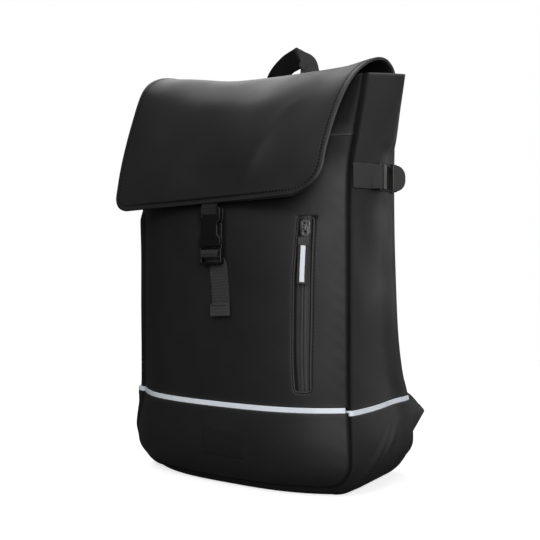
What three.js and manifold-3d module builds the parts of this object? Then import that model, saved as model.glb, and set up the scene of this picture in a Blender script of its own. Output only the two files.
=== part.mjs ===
// Flap-top rucksack in black coated fabric, standing on its base.
// Millimetres, +Z up, the front faces -Y, the wearer's back +Y, origin mid base.

import * as THREE from 'three';
import { mergeVertices } from 'three/addons/utils/BufferGeometryUtils.js';
import Module from 'manifold-3d';

const wasm = await Module();
wasm.setup();

// Sizes of the body
const GAP = 0.3;
const SEAT = 0.7;
const WALL = 2.2;
const BOTTOM_SEAM = 10;
const CORNER_RADIUS = 38;
const BASE_PUFF = 11.5;
const STRIPE_LOW = 86.3;
const STRIPE_HIGH = 91.7;
const STRIPE_PROUD = 0.6;
const POCKET_TOP = 363;
const POCKET_STEP = 3;
const HEM = 431;
const BULGE_POWER = 3;
const BASE_POWER = 12;
const BACK_PAD = 8;
const BACK_PILLOW = { rise: 3, power: 4, start: 10, full: 60, fade: 311, end: 361 };

// Body sections by height: half width at the seams, front seam, back edge of the side,
// forward bulge of the front, outward puff of the side and how creased that puff is
const SECTIONS = [
  { z: 10, halfWidth: 140.5, front: -69, back: 61, bulge: 24, puff: 6, crease: 2 },
  { z: 26, halfWidth: 141.5, front: -70, back: 64, bulge: 32, puff: 7, crease: 2 },
  { z: 52, halfWidth: 141.5, front: -70, back: 64, bulge: 37, puff: 7, crease: 2 },
  { z: 89, halfWidth: 138.5, front: -67, back: 57, bulge: 38.5, puff: 4, crease: 2 },
  { z: 116, halfWidth: 138, front: -67, back: 44, bulge: 38.5, puff: 3, crease: 2 },
  { z: 161, halfWidth: 138, front: -67, back: 32.5, bulge: 38, puff: 4, crease: 2 },
  { z: 241, halfWidth: 138, front: -67, back: 25, bulge: 37.5, puff: 6, crease: 2 },
  { z: 301, halfWidth: 138, front: -67, back: 22.5, bulge: 36, puff: 11, crease: 1.9 },
  { z: 333, halfWidth: 138, front: -65, back: 22.5, bulge: 32, puff: 16, crease: 1.75 },
  { z: 363, halfWidth: 138, front: -56, back: 23.5, bulge: 27, puff: 21, crease: 1.55 },
  { z: 401, halfWidth: 138, front: -43, back: 25, bulge: 19, puff: 26, crease: 1.35 },
  { z: 431, halfWidth: 137.5, front: -33, back: 28, bulge: 14, puff: 30, crease: 1.25 },
];

// Sizes of the flap, and its outer face in three long sections from the back seam to the front
// edge: left (-X), middle and right (+X)
const FLAP_THICK = 3;
const FLAP_HALF = 136;
const FLAP_CORNER = { left: 17, right: 34 };
const FLAP = [
  { at: 0, yLeft: 36.5, zLeft: 396, yMid: 36.5, zMid: 396, yRight: 36.5, zRight: 396 },
  { at: 1, yLeft: 45, zLeft: 423, yMid: 45, zMid: 423, yRight: 46, zRight: 425 },
  { at: 2, yLeft: 46, zLeft: 445, yMid: 43, zMid: 441, yRight: 45, zRight: 446 },
  { at: 3, yLeft: 26, zLeft: 460, yMid: 23, zMid: 450, yRight: 27, zRight: 456 },
  { at: 4, yLeft: 0, zLeft: 464, yMid: -2, zMid: 453, yRight: 2, zRight: 454 },
  { at: 5, yLeft: -36, zLeft: 459, yMid: -34, zMid: 448, yRight: -27, zRight: 442 },
  { at: 6, yLeft: -65, zLeft: 440, yMid: -62, zMid: 433, yRight: -56, zRight: 422 },
  { at: 7, yLeft: -85, zLeft: 398, yMid: -85, zMid: 397, yRight: -84, zRight: 390 },
  { at: 8, yLeft: -103, zLeft: 345, yMid: -108, zMid: 347, yRight: -110, zRight: 345 },
  { at: 9, yLeft: -114, zLeft: 294, yMid: -116, zMid: 297, yRight: -124, zRight: 301 },
];

// Sizes of the webbing, hardware and trim
const WEB = 25;
const WEB_THICK = 1.6;
const CLOSURE_WEB = 20;
const LABEL = { x: 11, z: 49, wide: 50, tall: 27, thick: 0.7 };
const ZIP = { x: 98, low: 108, high: 279, window: 14, corner: 4, tape: 22, tapeThick: 1.4, hidden: 5 };
const SLIDER = { z: 269, half: 4.5, tall: 6, corner: 2.5, sunk: 1.8, proud: 1.2 };
const BRIDGE = { half: 2.2, low: -8, high: 1.5, corner: 1, from: 1, proud: 3.4 };
const PULL = { wide: 10.5, low: 214, high: 260.4, front: 3.8, back: 1.4 };
const PULL_STRIP = { wide: 6.6, low: 216, high: 252, front: 4.7, back: 4.1 };

// Ladder lock: plate with two slots along the strap and a thumb tab tipped outwards
const LOCK = { half: 15, side: 3, corner: 3, thick: 3.6, slotFrom: [-10.5, -0.5], slot: 5.5, play: 0.4 };
const THUMB = { long: 10.5, side: 1, corner: 5, thick: 2.4, tip: 0.6, from: 11, rise: 1.2 };

// Side straps: height, share of the side's depth at the lock, turn of the lock from the side
const SIDE_STRAP = { height: 321, lockShare: 0.5, lockTurn: 0.22, lockRise: 1.4 };
const STRAP_SHARES = [0.01, 0.07, 0.13, 0.19, 0.25];
const LOOP_SHARES = [0.66, 0.72, 0.8, 0.88, 0.94, 0.99];
const HOOK = [
  { along: -8, out: -1.1 },
  { along: -3, out: -1.1 },
  { along: 0, out: -1.1 },
  { along: 1.7, out: -0.3 },
  { along: 2.2, out: 1.2 },
  { along: 2.3, out: 3 },
];

// Side-release buckle: socket above, plug below, parted at split above the plug's lower end
const BUCKLE = { x: 1, low: 233, high: 283, wide: 26, thick: 8.6, face: -116.5, split: 19, play: 0.4 };
const SOCKET = { corner: 3, bar: 3, slot: 4, mouth: 10.6, roof: 9, shell: 2 };
const WINDOW = { from: 9.5, to: 20, low: 22, high: 11 };
const PLUG = { corner: 2.5, inset: 1, slotLow: [2.8, 11], slot: 4.6, root: 2, slim: 2.4 };
const PRONGS = [
  { from: -9.2, to: -6, short: 11 },
  { from: 6, to: 9.2, short: 11 },
  { from: -1.6, to: 1.6, short: 12 },
];

// Webbing from the flap to the buckle, by height: how far behind the buckle's face
const UPPER_SHARES = [8.2, 8.5, 8.75];
const UPPER_LINE = [
  { z: 298, behind: 7 },
  { z: 291, behind: 3.4 },
  { z: 286.4, behind: -1.2 },
  { z: 283, behind: -1.6 },
  { z: 279.4, behind: -1.4 },
  { z: 277.6, behind: 0.6 },
  { z: 277.4, behind: 6 },
];

// Webbing from behind the buckle over the plug's middle bar to its tail: how far off the pocket
const CLOSURE_LINE = [
  { x: 1, z: 270, off: 0 },
  { x: 1, z: 258, off: 0 },
  { x: 1, z: 250.5, off: 0.6 },
  { x: 1, z: 247.2, off: 2.4 },
  { x: 1, z: 246.2, off: 6 },
  { x: 1, z: 246, off: 9.2 },
  { x: 1, z: 244.8, off: 10.9 },
  { x: 1, z: 242.2, off: 11.3 },
  { x: 1, z: 239.6, off: 10.8 },
  { x: 1, z: 238.3, off: 9 },
  { x: 1, z: 238, off: 5.4 },
  { x: 1.3, z: 236.4, off: 2 },
  { x: 3.6, z: 231, off: 0.9 },
  { x: 5.6, z: 222, off: 0.4 },
  { x: 7.6, z: 208, off: 0.2 },
  { x: 8.8, z: 194, off: 0.4 },
  { x: 9.6, z: 179, off: 0.9 },
];

// Carrying handle: both legs by height, sewn to the back between low and high, and its crown
const HANDLE = { web: 25, low: 362, high: 380, steps: 48, turnFrom: 0.36, turnTo: 0.64 };
const HANDLE_LINE = [
  { left: -37.5, right: 30, y: 41, z: 396 },
  { left: -36, right: 28.5, y: 49, z: 418 },
  { left: -33, right: 25, y: 54, z: 442 },
  { left: -25, right: 19, y: 58, z: 466 },
  { left: -10, right: 12, y: 61, z: 483 },
];
const HANDLE_CROWN = { x: 1, y: 62, z: 490 };

// Shoulder straps: the padded band's line off the back, then the webbing's fall to the wing
const SHOULDER = { wide: 56, thick: 11, steps: 20, sides: 12, edge: 0.45, face: 0.6, ends: 0.8 };
const SHOULDER_LINE = [
  { x: 46, z: 352, off: 6.3 },
  { x: 46, z: 336, off: 6.8 },
  { x: 50, z: 314, off: 15 },
  { x: 56, z: 284, off: 32 },
  { x: 64, z: 246, off: 42 },
  { x: 72, z: 206, off: 40 },
  { x: 80, z: 168, off: 36 },
  { x: 84, z: 146, off: 32 },
];
const STRAP_HOOK = [
  { along: -7.7, out: 3 },
  { along: -7.6, out: 1.4 },
  { along: -7, out: -0.3 },
  { along: -5, out: -1.2 },
  { along: 0, out: -1.2 },
  { along: 15, out: -1.2 },
  { along: 22, out: -1.2 },
];
const STRAP_FALL = [
  { x: 102, y: 81, z: 96, turn: 0.3 },
  { x: 116, y: 85, z: 86, turn: 0.75 },
  { x: 129, y: 87, z: 75, turn: 0.95 },
  { x: 135.3, y: 87, z: 61, turn: 1 },
];
const WING = { low: 40, high: 90, tip: 71, tipLow: 62, round: 1.6, reach: 37, inset: 2, thick: 3 };

// Materials
const standard = (color, roughness, metalness = 0) => (
  new THREE.MeshStandardMaterial({ color, roughness, metalness })
);
const coated = standard(0x1d1d1f, 0.62);
const padding = standard(0x202022, 0.85);
const webbing = standard(0x2a2a2c, 0.9);
const reflective = standard(0xbfc6cf, 0.4);
const plastic = standard(0x161617, 0.45);
const gunmetal = standard(0x5a5c60, 0.35, 1);
const tapeFilm = standard(0x242426, 0.4);

const v3 = (x, y, z) => new THREE.Vector3(x, y, z);
const mix = THREE.MathUtils.lerp;

// One column of a table as a smooth function of another: cubic pieces through every row
function column(rows, at, name) {
  const last = rows.length - 1;
  const slope = (k) => {
    const low = rows[Math.max(k - 1, 0)];
    const high = rows[Math.min(k + 1, last)];
    return (high[name] - low[name]) / (high[at] - low[at]);
  };
  return (value) => {
    const v = THREE.MathUtils.clamp(value, rows[0][at], rows[last][at]);
    let k = 0;
    while (k < last - 1 && v > rows[k + 1][at]) k += 1;
    const span = rows[k + 1][at] - rows[k][at];
    const t = (v - rows[k][at]) / span;
    const start = rows[k][name] * (2 * t ** 3 - 3 * t ** 2 + 1);
    const end = rows[k + 1][name] * (3 * t ** 2 - 2 * t ** 3);
    const leave = slope(k) * span * (t ** 3 - 2 * t ** 2 + t);
    const arrive = slope(k + 1) * span * (t ** 3 - t ** 2);
    return start + end + leave + arrive;
  };
}

const halfWidth = column(SECTIONS, 'z', 'halfWidth');
const frontSeam = column(SECTIONS, 'z', 'front');
const backEdge = column(SECTIONS, 'z', 'back');
const bulge = column(SECTIONS, 'z', 'bulge');
const sidePuff = column(SECTIONS, 'z', 'puff');
const creaseOf = column(SECTIONS, 'z', 'crease');

const steps = (count, from = 0, to = 1) => (
  Array.from({ length: count + 1 }, (_, k) => mix(from, to, k / count))
);

// Geometry from vertices and triangles, turned so that its faces look outwards
function closedGeometry(points, faces) {
  const volume = faces.reduce((sum, [a, b, c]) => (
    sum + points[a].dot(points[b].clone().cross(points[c]))
  ), 0);
  const turned = volume < 0 ? faces.map(([a, b, c]) => [a, c, b]) : faces;
  const geometry = new THREE.BufferGeometry().setFromPoints(points);
  geometry.setIndex(turned.flat());
  return geometry;
}

// A closed sheet between two faces, both given over the same lists of u and v
function sheet(us, vs, outer, inner) {
  const points = [];
  [outer, inner].forEach((face) => us.forEach((u) => vs.forEach((v) => points.push(face(u, v)))));
  const side = us.length * vs.length;
  const at = (i, j, face) => face * side + i * vs.length + j;
  const faces = [];
  const quad = (a, b, c, d) => faces.push([a, b, c], [a, c, d]);
  for (let i = 0; i < us.length - 1; i += 1) {
    for (let j = 0; j < vs.length - 1; j += 1) {
      quad(at(i, j, 0), at(i + 1, j, 0), at(i + 1, j + 1, 0), at(i, j + 1, 0));
      quad(at(i, j, 1), at(i, j + 1, 1), at(i + 1, j + 1, 1), at(i + 1, j, 1));
    }
  }
  const lastU = us.length - 1;
  const lastV = vs.length - 1;
  for (let i = 0; i < lastU; i += 1) {
    quad(at(i, 0, 0), at(i, 0, 1), at(i + 1, 0, 1), at(i + 1, 0, 0));
    quad(at(i, lastV, 0), at(i + 1, lastV, 0), at(i + 1, lastV, 1), at(i, lastV, 1));
  }
  for (let j = 0; j < lastV; j += 1) {
    quad(at(0, j, 0), at(0, j + 1, 0), at(0, j + 1, 1), at(0, j, 1));
    quad(at(lastU, j, 0), at(lastU, j, 1), at(lastU, j + 1, 1), at(lastU, j + 1, 0));
  }
  return closedGeometry(points, faces);
}

// A closed skin through rings of points, one ring for each station of a line
function sweep(rings) {
  const points = rings.flat();
  const around = rings[0].length;
  const faces = [];
  for (let i = 0; i < rings.length - 1; i += 1) {
    for (let j = 0; j < around; j += 1) {
      const next = (j + 1) % around;
      const a = i * around + j;
      const b = i * around + next;
      faces.push([a, b, b + around], [a, b + around, a + around]);
    }
  }
  const end = (rings.length - 1) * around;
  for (let j = 1; j < around - 1; j += 1) {
    faces.push([0, j + 1, j], [end, end + j, end + j + 1]);
  }
  return closedGeometry(points, faces);
}

// Flat strap: a rectangle along points, its width laid along across(k, tangent)
function strap(points, across, width, thick) {
  const rings = points.map((p, k) => {
    const before = points[Math.max(k - 1, 0)];
    const after = points[Math.min(k + 1, points.length - 1)];
    const tangent = after.clone().sub(before).normalize();
    const wide = across(k, tangent);
    const up = wide.clone().cross(tangent).normalize();
    return [[-1, -1], [1, -1], [1, 1], [-1, 1]].map(([w, t]) => (
      p.clone().addScaledVector(wide, w * width / 2).addScaledVector(up, t * thick / 2)
    ));
  });
  return sweep(rings);
}

const smooth = (points, count) => new THREE.CatmullRomCurve3(points).getPoints(count);

// Solids for joining and cutting, there and back
function solidOf(geometry) {
  const bare = geometry.clone();
  bare.deleteAttribute('normal');
  bare.deleteAttribute('uv');
  const merged = mergeVertices(bare, 1e-4);
  return new wasm.Manifold(new wasm.Mesh({
    numProp: 3,
    vertProperties: merged.attributes.position.array,
    triVerts: new Uint32Array(merged.index.array),
  }));
}

function geometryOf(solid) {
  const made = solid.getMesh();
  const geometry = new THREE.BufferGeometry();
  geometry.setAttribute('position', new THREE.BufferAttribute(made.vertProperties, 3));
  geometry.setIndex(new THREE.BufferAttribute(made.triVerts, 1));
  return geometry;
}

const cut = (base, ...tools) => geometryOf(
  tools.reduce((solid, tool) => solid.subtract(solidOf(tool)), solidOf(base)),
);
const join = (base, ...more) => geometryOf(
  more.reduce((solid, piece) => solid.add(solidOf(piece)), solidOf(base)),
);

const box = (x0, x1, y0, y1, z0, z1) => (
  new THREE.BoxGeometry(x1 - x0, y1 - y0, z1 - z0)
    .translate((x0 + x1) / 2, (y0 + y1) / 2, (z0 + z1) / 2)
);

// Plate in the XY plane with rounded corners, thickness from z0 to z1
function plate(x0, x1, y0, y1, radius, z0, z1) {
  const shape = new THREE.Shape();
  shape.moveTo(x0 + radius, y0);
  shape.lineTo(x1 - radius, y0);
  shape.absarc(x1 - radius, y0 + radius, radius, -Math.PI / 2, 0);
  shape.absarc(x1 - radius, y1 - radius, radius, 0, Math.PI / 2);
  shape.absarc(x0 + radius, y1 - radius, radius, Math.PI / 2, Math.PI);
  shape.absarc(x0 + radius, y0 + radius, radius, Math.PI, Math.PI * 1.5);
  const made = new THREE.ExtrudeGeometry(shape, {
    depth: z1 - z0, bevelEnabled: false, curveSegments: 3,
  });
  return made.translate(0, 0, z0);
}

const rucksack = new THREE.Group();
rucksack.name = 'rucksack';

function add(name, geometry, material) {
  const mesh = new THREE.Mesh(geometry, material);
  mesh.name = name;
  rucksack.add(mesh);
  return mesh;
}

// Body shape shared by the panels

// Half width of the seam line, drawn in by the rounded bottom corner
function seamHalf(z) {
  const rise = Math.min(z - BOTTOM_SEAM, CORNER_RADIUS);
  const short = CORNER_RADIUS - rise;
  return halfWidth(z) - CORNER_RADIUS + Math.sqrt(CORNER_RADIUS ** 2 - short ** 2);
}

// Front face at a share u of the half width: a pillow that dies out at the seams
const frontY = (u, z, step = 0) => (
  frontSeam(z) - (bulge(z) - step) * (1 - Math.abs(u) ** BULGE_POWER)
);
const frontPoint = (u, z, depth = 0, step = 0) => (
  v3(u * seamHalf(z), frontY(u, z, step) + depth, z)
);

// Panel of the front between two heights
function frontPanel(us, zs, step = 0, proud = 0) {
  return sheet(
    us,
    zs,
    (u, z) => frontPoint(u, z, -proud, step),
    (u, z) => frontPoint(u, z, WALL, step),
  );
}

// Stations of the side and base strip: the seam line and its outward direction
const sideStation = (z, hand) => ({ x: hand * seamHalf(z), z, nx: hand, nz: 0 });
function cornerStation(angle, hand) {
  const z = BOTTOM_SEAM + CORNER_RADIUS * (1 - Math.cos(angle));
  return { x: hand * seamHalf(z), z, nx: hand * Math.sin(angle), nz: -Math.cos(angle) };
}

// Point of the strip: t runs from the front seam to the back edge, depth goes inwards
function stripPoint(station, t, depth) {
  const across = THREE.MathUtils.clamp(station.x / seamHalf(station.z), -1, 1);
  const front = frontY(across, station.z) + WALL + GAP;
  const y = mix(front, backEdge(station.z), t);
  const swell = Math.abs(2 * t - 1);
  const side = sidePuff(station.z) * (1 - swell ** creaseOf(station.z));
  const base = BASE_PUFF * (1 - swell ** BASE_POWER);
  const out = mix(side, base, station.nz ** 2) - depth;
  return v3(station.x + station.nx * out, y, Math.max(station.z + station.nz * out, depth));
}

const strip = (stations, ts, proud = 0) => sheet(
  stations,
  ts,
  (station, t) => stripPoint(station, t, -proud),
  (station, t) => stripPoint(station, t, WALL),
);

// Front panels: padded foot below the reflective stripe, pocket front, throat below the hem
const halfFront = [0.2, 0.45, 0.65, 0.78, 0.88, 0.95, 1];
const acrossFront = [...halfFront.map((u) => -u).reverse(), 0, ...halfFront];
const footHeights = [0, 18, 36, 54, 72, 90]
  .map((deg) => BOTTOM_SEAM + CORNER_RADIUS * (1 - Math.cos(THREE.MathUtils.degToRad(deg))))
  .concat([68, STRIPE_LOW - GAP]);
add('front_foot', frontPanel(acrossFront, footHeights), coated);
add('stripe_front', frontPanel(acrossFront, [STRIPE_LOW, STRIPE_HIGH], 0, STRIPE_PROUD), reflective);

const pocketHeights = [STRIPE_HIGH + GAP, 116, 151, 191, 231, 266, 296, 321, 342, POCKET_TOP];
const pocket = frontPanel(acrossFront, pocketHeights);
const HOLE_REACH = 40;
const zipMiddle = (ZIP.low + ZIP.high) / 2;
const zipHole = plate(
  ZIP.x - ZIP.window / 2,
  ZIP.x + ZIP.window / 2,
  ZIP.low,
  ZIP.high,
  ZIP.corner,
  -HOLE_REACH,
  HOLE_REACH,
).rotateX(Math.PI / 2).translate(0, frontY(ZIP.x / seamHalf(zipMiddle), zipMiddle), 0);
add('front_pocket', cut(pocket, zipHole), coated);

const throatHeights = [POCKET_TOP + GAP, 376, 391, 406, 419, HEM];
add('front_throat', frontPanel(acrossFront, throatHeights, POCKET_STEP), coated);

// Side and base strip: one piece round the foot, one piece up each side, stripe between
const cornerAngles = [90, 72, 54, 36, 18, 0].map(THREE.MathUtils.degToRad);
const depthSteps = [0, 0.08, 0.2, 0.35, 0.5, 0.65, 0.8, 0.92, 1];
const baseStations = [-0.75, -0.45, -0.15, 0.15, 0.45, 0.75].map((share) => ({
  x: share * seamHalf(BOTTOM_SEAM), z: BOTTOM_SEAM, nx: 0, nz: -1,
}));
const footStations = [
  sideStation(STRIPE_LOW - GAP, -1),
  sideStation(68, -1),
  ...cornerAngles.map((angle) => cornerStation(angle, -1)),
  ...baseStations,
  ...cornerAngles.map((angle) => cornerStation(angle, 1)).reverse(),
  sideStation(68, 1),
  sideStation(STRIPE_LOW - GAP, 1),
];
add('gusset_foot', strip(footStations, depthSteps), coated);

const sideHeights = [...pocketHeights, ...throatHeights.slice(1)];
[['right', 1], ['left', -1]].forEach(([name, hand]) => {
  const stations = sideHeights.map((z) => sideStation(z, hand));
  add(`gusset_${name}`, strip(stations, depthSteps), coated);
  const band = [STRIPE_LOW, STRIPE_HIGH].map((z) => sideStation(z, hand));
  add(`stripe_${name}`, strip(band, depthSteps, STRIPE_PROUD), reflective);
});

// Padded back panel behind the back edges of the sides
const backPillow = (u, z) => (
  BACK_PILLOW.rise * (1 - u ** BACK_PILLOW.power)
  * THREE.MathUtils.smoothstep(z, BACK_PILLOW.start, BACK_PILLOW.full)
  * (1 - THREE.MathUtils.smoothstep(z, BACK_PILLOW.fade, BACK_PILLOW.end))
);
const backFace = (u, z) => backEdge(z) + GAP + BACK_PAD + backPillow(u, z);
const backHeights = [
  ...footHeights.slice(0, -1),
  STRIPE_LOW,
  STRIPE_HIGH,
  ...sideHeights.slice(1),
];
add('back_panel', sheet(
  [-1, -0.92, -0.7, -0.35, 0, 0.35, 0.7, 0.92, 1],
  backHeights,
  (u, z) => v3(u * seamHalf(z), backFace(u, z), z),
  (u, z) => v3(u * seamHalf(z), backEdge(z) + GAP, z),
), padding);

// Flap: sewn to the back panel, arched over the mouth, hanging in front of the pocket
const flapColumn = Object.fromEntries(
  ['yLeft', 'zLeft', 'yMid', 'zMid', 'yRight', 'zRight']
    .map((name) => [name, column(FLAP, 'at', name)]),
);
const FLAP_END = FLAP[FLAP.length - 1].at;
const flapMid = (s) => v3(0, flapColumn.yMid(s), flapColumn.zMid(s));
const flapStep = flapMid(FLAP_END).distanceTo(flapMid(FLAP_END - 1));

// Three sections blended across: u is -1 at the left edge and 1 at the right
function flapFace(u, s) {
  const corner = u < 0 ? FLAP_CORNER.left : FLAP_CORNER.right;
  const below = Math.max(corner - (FLAP_END - s) * flapStep, 0);
  const half = FLAP_HALF - corner + Math.sqrt(corner ** 2 - below ** 2);
  const left = u * (u - 1) / 2;
  const mid = 1 - u * u;
  const right = u * (u + 1) / 2;
  const blend = (axis) => left * flapColumn[`${axis}Left`](s)
    + mid * flapColumn[`${axis}Mid`](s) + right * flapColumn[`${axis}Right`](s);
  return v3(u * half, blend('y'), blend('z'));
}
function flapNormal(u, s) {
  const near = 0.01;
  const du = flapFace(Math.min(u + near, 1), s).sub(flapFace(Math.max(u - near, -1), s));
  const ds = flapFace(u, Math.min(s + near, FLAP_END)).sub(flapFace(u, Math.max(s - near, 0)));
  return du.cross(ds).normalize();
}
const flapInner = (u, s, depth = FLAP_THICK) => (
  flapFace(u, s).addScaledVector(flapNormal(u, s), depth)
);
const flapStations = [...steps(12, 0, 6), 6.5, 7, 7.5, 8, 8.3, 8.55, 8.75, 8.9, FLAP_END];
add('flap', sheet(
  [-1, -0.93, -0.8, -0.6, -0.35, -0.1, 0.15, 0.4, 0.6, 0.8, 0.93, 1],
  flapStations,
  flapFace,
  flapInner,
), coated);

// Carrying handle: webbing sewn flat to the back, turning half round over the loop
const onBack = (x, z, off) => v3(x, backFace(x / seamHalf(z), z) + off, z);
const handleOff = SEAT + WEB_THICK / 2;
const handleSide = (name) => [
  onBack(HANDLE_LINE[0][name], HANDLE.low, handleOff),
  onBack(HANDLE_LINE[0][name], HANDLE.high, handleOff),
  ...HANDLE_LINE.map((row) => v3(row[name], row.y, row.z)),
];
const handleCrown = v3(HANDLE_CROWN.x, HANDLE_CROWN.y, HANDLE_CROWN.z);
const handlePath = smooth(
  [...handleSide('left'), handleCrown, ...handleSide('right').reverse()],
  HANDLE.steps,
);
const handleAcross = (k, tangent) => {
  const share = k / HANDLE.steps;
  const turn = Math.PI * THREE.MathUtils.smoothstep(share, HANDLE.turnFrom, HANDLE.turnTo);
  const flat = v3(tangent.z, 0, -tangent.x).normalize();
  const upright = flat.clone().cross(tangent).normalize();
  return flat.multiplyScalar(Math.cos(turn)).addScaledVector(upright, Math.sin(turn)).normalize();
};
add('top_handle', strap(handlePath, handleAcross, HANDLE.web, WEB_THICK), webbing);

// Ladder lock in its own frame: x along the strap, y across it, z outwards
function ladderLock(web) {
  const wide = web / 2 + LOCK.side;
  const body = plate(-LOCK.half, LOCK.half, -wide, wide, LOCK.corner, 0, LOCK.thick);
  const open = web / 2 + LOCK.play;
  const slots = LOCK.slotFrom.map((x) => (
    box(x, x + LOCK.slot, -open, open, -1, LOCK.thick + 1)
  ));
  const thumb = web / 2 + THUMB.side;
  const tab = plate(0, THUMB.long, -thumb, thumb, THUMB.corner, 0, THUMB.thick)
    .rotateY(-THUMB.tip).translate(THUMB.from, 0, THUMB.rise);
  return join(cut(body, ...slots), tab);
}
const frame = (along, across, out, at) => (
  new THREE.Matrix4().makeBasis(along, across, out).setPosition(at)
);

// Side straps: webbing from the front seam into a ladder lock, short webbing to the back edge
[['right', 1], ['left', -1]].forEach(([name, hand]) => {
  const laid = (t, off, rise = 0) => (
    stripPoint(sideStation(SIDE_STRAP.height + rise, hand), t, -off)
  );
  const upright = (t) => laid(t, 0, WEB / 2).sub(laid(t, 0, -WEB / 2)).normalize();
  const off = SEAT + WEB_THICK / 2;
  const share = SIDE_STRAP.lockShare;
  const seatUp = upright(share);
  const along = laid(share + 0.04, 0).sub(laid(share - 0.04, 0)).normalize();
  const turned = v3(along.x + hand * SIDE_STRAP.lockTurn, along.y, along.z);
  turned.addScaledVector(seatUp, -turned.dot(seatUp)).normalize();
  const out = turned.clone().cross(seatUp).multiplyScalar(hand);
  const rise = SEAT + GAP + WEB_THICK + SIDE_STRAP.lockRise;
  const seat = laid(share, 0).addScaledVector(out, rise);
  const place = frame(turned, out.clone().cross(turned), out, seat);
  add(`ladder_lock_${name}`, ladderLock(WEB).applyMatrix4(place), plastic);
  const hooked = HOOK.map((row) => v3(row.along, 0, row.out).applyMatrix4(place));
  const line = [...STRAP_SHARES.map((t) => laid(t, off)), ...hooked];
  const across = (k) => (k < STRAP_SHARES.length ? upright(STRAP_SHARES[k]) : seatUp);
  add(`side_strap_${name}`, strap(line, across, WEB, WEB_THICK), webbing);
  const loop = LOOP_SHARES.map((t) => laid(t, off));
  add(`side_loop_${name}`, strap(loop, (k) => upright(LOOP_SHARES[k]), WEB, WEB_THICK), webbing);
});

// Zip: tape behind the slot in the pocket, slider in the slot, pull hanging from it
const zipFace = (x, z) => frontY(x / seamHalf(z), z);
add('zip_tape', sheet(
  steps(4, ZIP.x - ZIP.tape / 2, ZIP.x + ZIP.tape / 2),
  steps(10, ZIP.low - ZIP.hidden, ZIP.high + ZIP.hidden),
  (x, z) => v3(x, zipFace(x, z) + WALL + SEAT, z),
  (x, z) => v3(x, zipFace(x, z) + WALL + SEAT + ZIP.tapeThick, z),
), tapeFilm);
function onPocket(x, z) {
  const here = v3(x, zipFace(x, z), z);
  const right = v3(2, zipFace(x + 1, z) - zipFace(x - 1, z), 0).normalize();
  const rise = v3(0, zipFace(x, z + 1) - zipFace(x, z - 1), 2).normalize();
  const out = right.clone().cross(rise).normalize();
  return frame(right, out.clone().cross(right), out, here);
}
const sliderSeat = onPocket(ZIP.x, SLIDER.z);
const slider = join(
  plate(-SLIDER.half, SLIDER.half, -SLIDER.tall, SLIDER.tall, SLIDER.corner, -SLIDER.sunk, SLIDER.proud),
  plate(-BRIDGE.half, BRIDGE.half, BRIDGE.low, BRIDGE.high, BRIDGE.corner, BRIDGE.from, BRIDGE.proud),
);
add('zip_slider', slider.applyMatrix4(sliderSeat), gunmetal);
const pullSeat = new THREE.Matrix4().makeBasis(
  v3(0, 0, 0).setFromMatrixColumn(sliderSeat, 0),
  v3(0, 0, 0).setFromMatrixColumn(sliderSeat, 2).negate(),
  v3(0, 0, 1),
).setPosition(ZIP.x, zipFace(ZIP.x, (PULL.low + SLIDER.z) / 2), 0);
const hanging = ({ wide, low, high, front, back }) => (
  box(-wide / 2, wide / 2, -front, -back, low, high).applyMatrix4(pullSeat)
);
add('zip_pull', hanging(PULL), webbing);
add('zip_pull_strip', hanging(PULL_STRIP), reflective);

// Front closure: webbing under the flap, side-release buckle, adjusting webbing with its tail
const buckleBack = BUCKLE.face + BUCKLE.thick;
const socketLow = BUCKLE.low + BUCKLE.split;
const slotHalf = CLOSURE_WEB / 2 + BUCKLE.play;
const standing = (geometry) => geometry.rotateX(Math.PI / 2).translate(0, buckleBack, 0);
const through = (x0, x1, z0, z1, inset = -1) => (
  box(x0, x1, BUCKLE.face + inset, buckleBack - inset, z0, z1)
);
const half = BUCKLE.wide / 2;
const barLow = BUCKLE.high - SOCKET.bar;
const socketHoles = [
  through(-slotHalf, slotHalf, barLow - SOCKET.slot, barLow),
  through(-SOCKET.mouth, SOCKET.mouth, socketLow - 1, BUCKLE.high - SOCKET.roof, SOCKET.shell),
  ...[[-WINDOW.to, -WINDOW.from], [WINDOW.from, WINDOW.to]].map(([from, to]) => (
    through(from, to, BUCKLE.high - WINDOW.low, BUCKLE.high - WINDOW.high)
  )),
];
const socketBody = plate(-half, half, socketLow, BUCKLE.high, SOCKET.corner, 0, BUCKLE.thick);
const socket = cut(standing(socketBody), ...socketHoles);
add('buckle_socket', socket.translate(BUCKLE.x, 0, 0), plastic);
const plugBody = plate(
  -half,
  half,
  BUCKLE.low,
  socketLow - GAP,
  PLUG.corner,
  PLUG.inset,
  BUCKLE.thick - PLUG.inset,
);
const plugSlots = PLUG.slotLow.map((low) => (
  through(-slotHalf, slotHalf, BUCKLE.low + low, BUCKLE.low + low + PLUG.slot)
));
const prongs = PRONGS.map(({ from, to, short }) => (
  through(from, to, socketLow - PLUG.root, BUCKLE.high - short, PLUG.slim)
));
const plug = join(cut(standing(plugBody), ...plugSlots), ...prongs);
add('buckle_plug', plug.translate(BUCKLE.x, 0, 0), plastic);
const acrossX = () => v3(1, 0, 0);
const webHalf = WEB_THICK / 2;
const underFlap = (s) => flapInner(0, s, FLAP_THICK + SEAT + webHalf).setX(BUCKLE.x);
const upperLine = [
  ...UPPER_SHARES.map(underFlap),
  ...UPPER_LINE.map(({ z, behind }) => v3(BUCKLE.x, BUCKLE.face + behind, z)),
];
add('closure_strap_upper', strap(upperLine, acrossX, CLOSURE_WEB, WEB_THICK), webbing);
const closureLine = CLOSURE_LINE.map(({ x, z, off }) => (
  v3(x, frontY(0, z) - GAP - webHalf - off, z)
));
add('closure_strap_lower', strap(closureLine, acrossX, CLOSURE_WEB, WEB_THICK), webbing);

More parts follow.
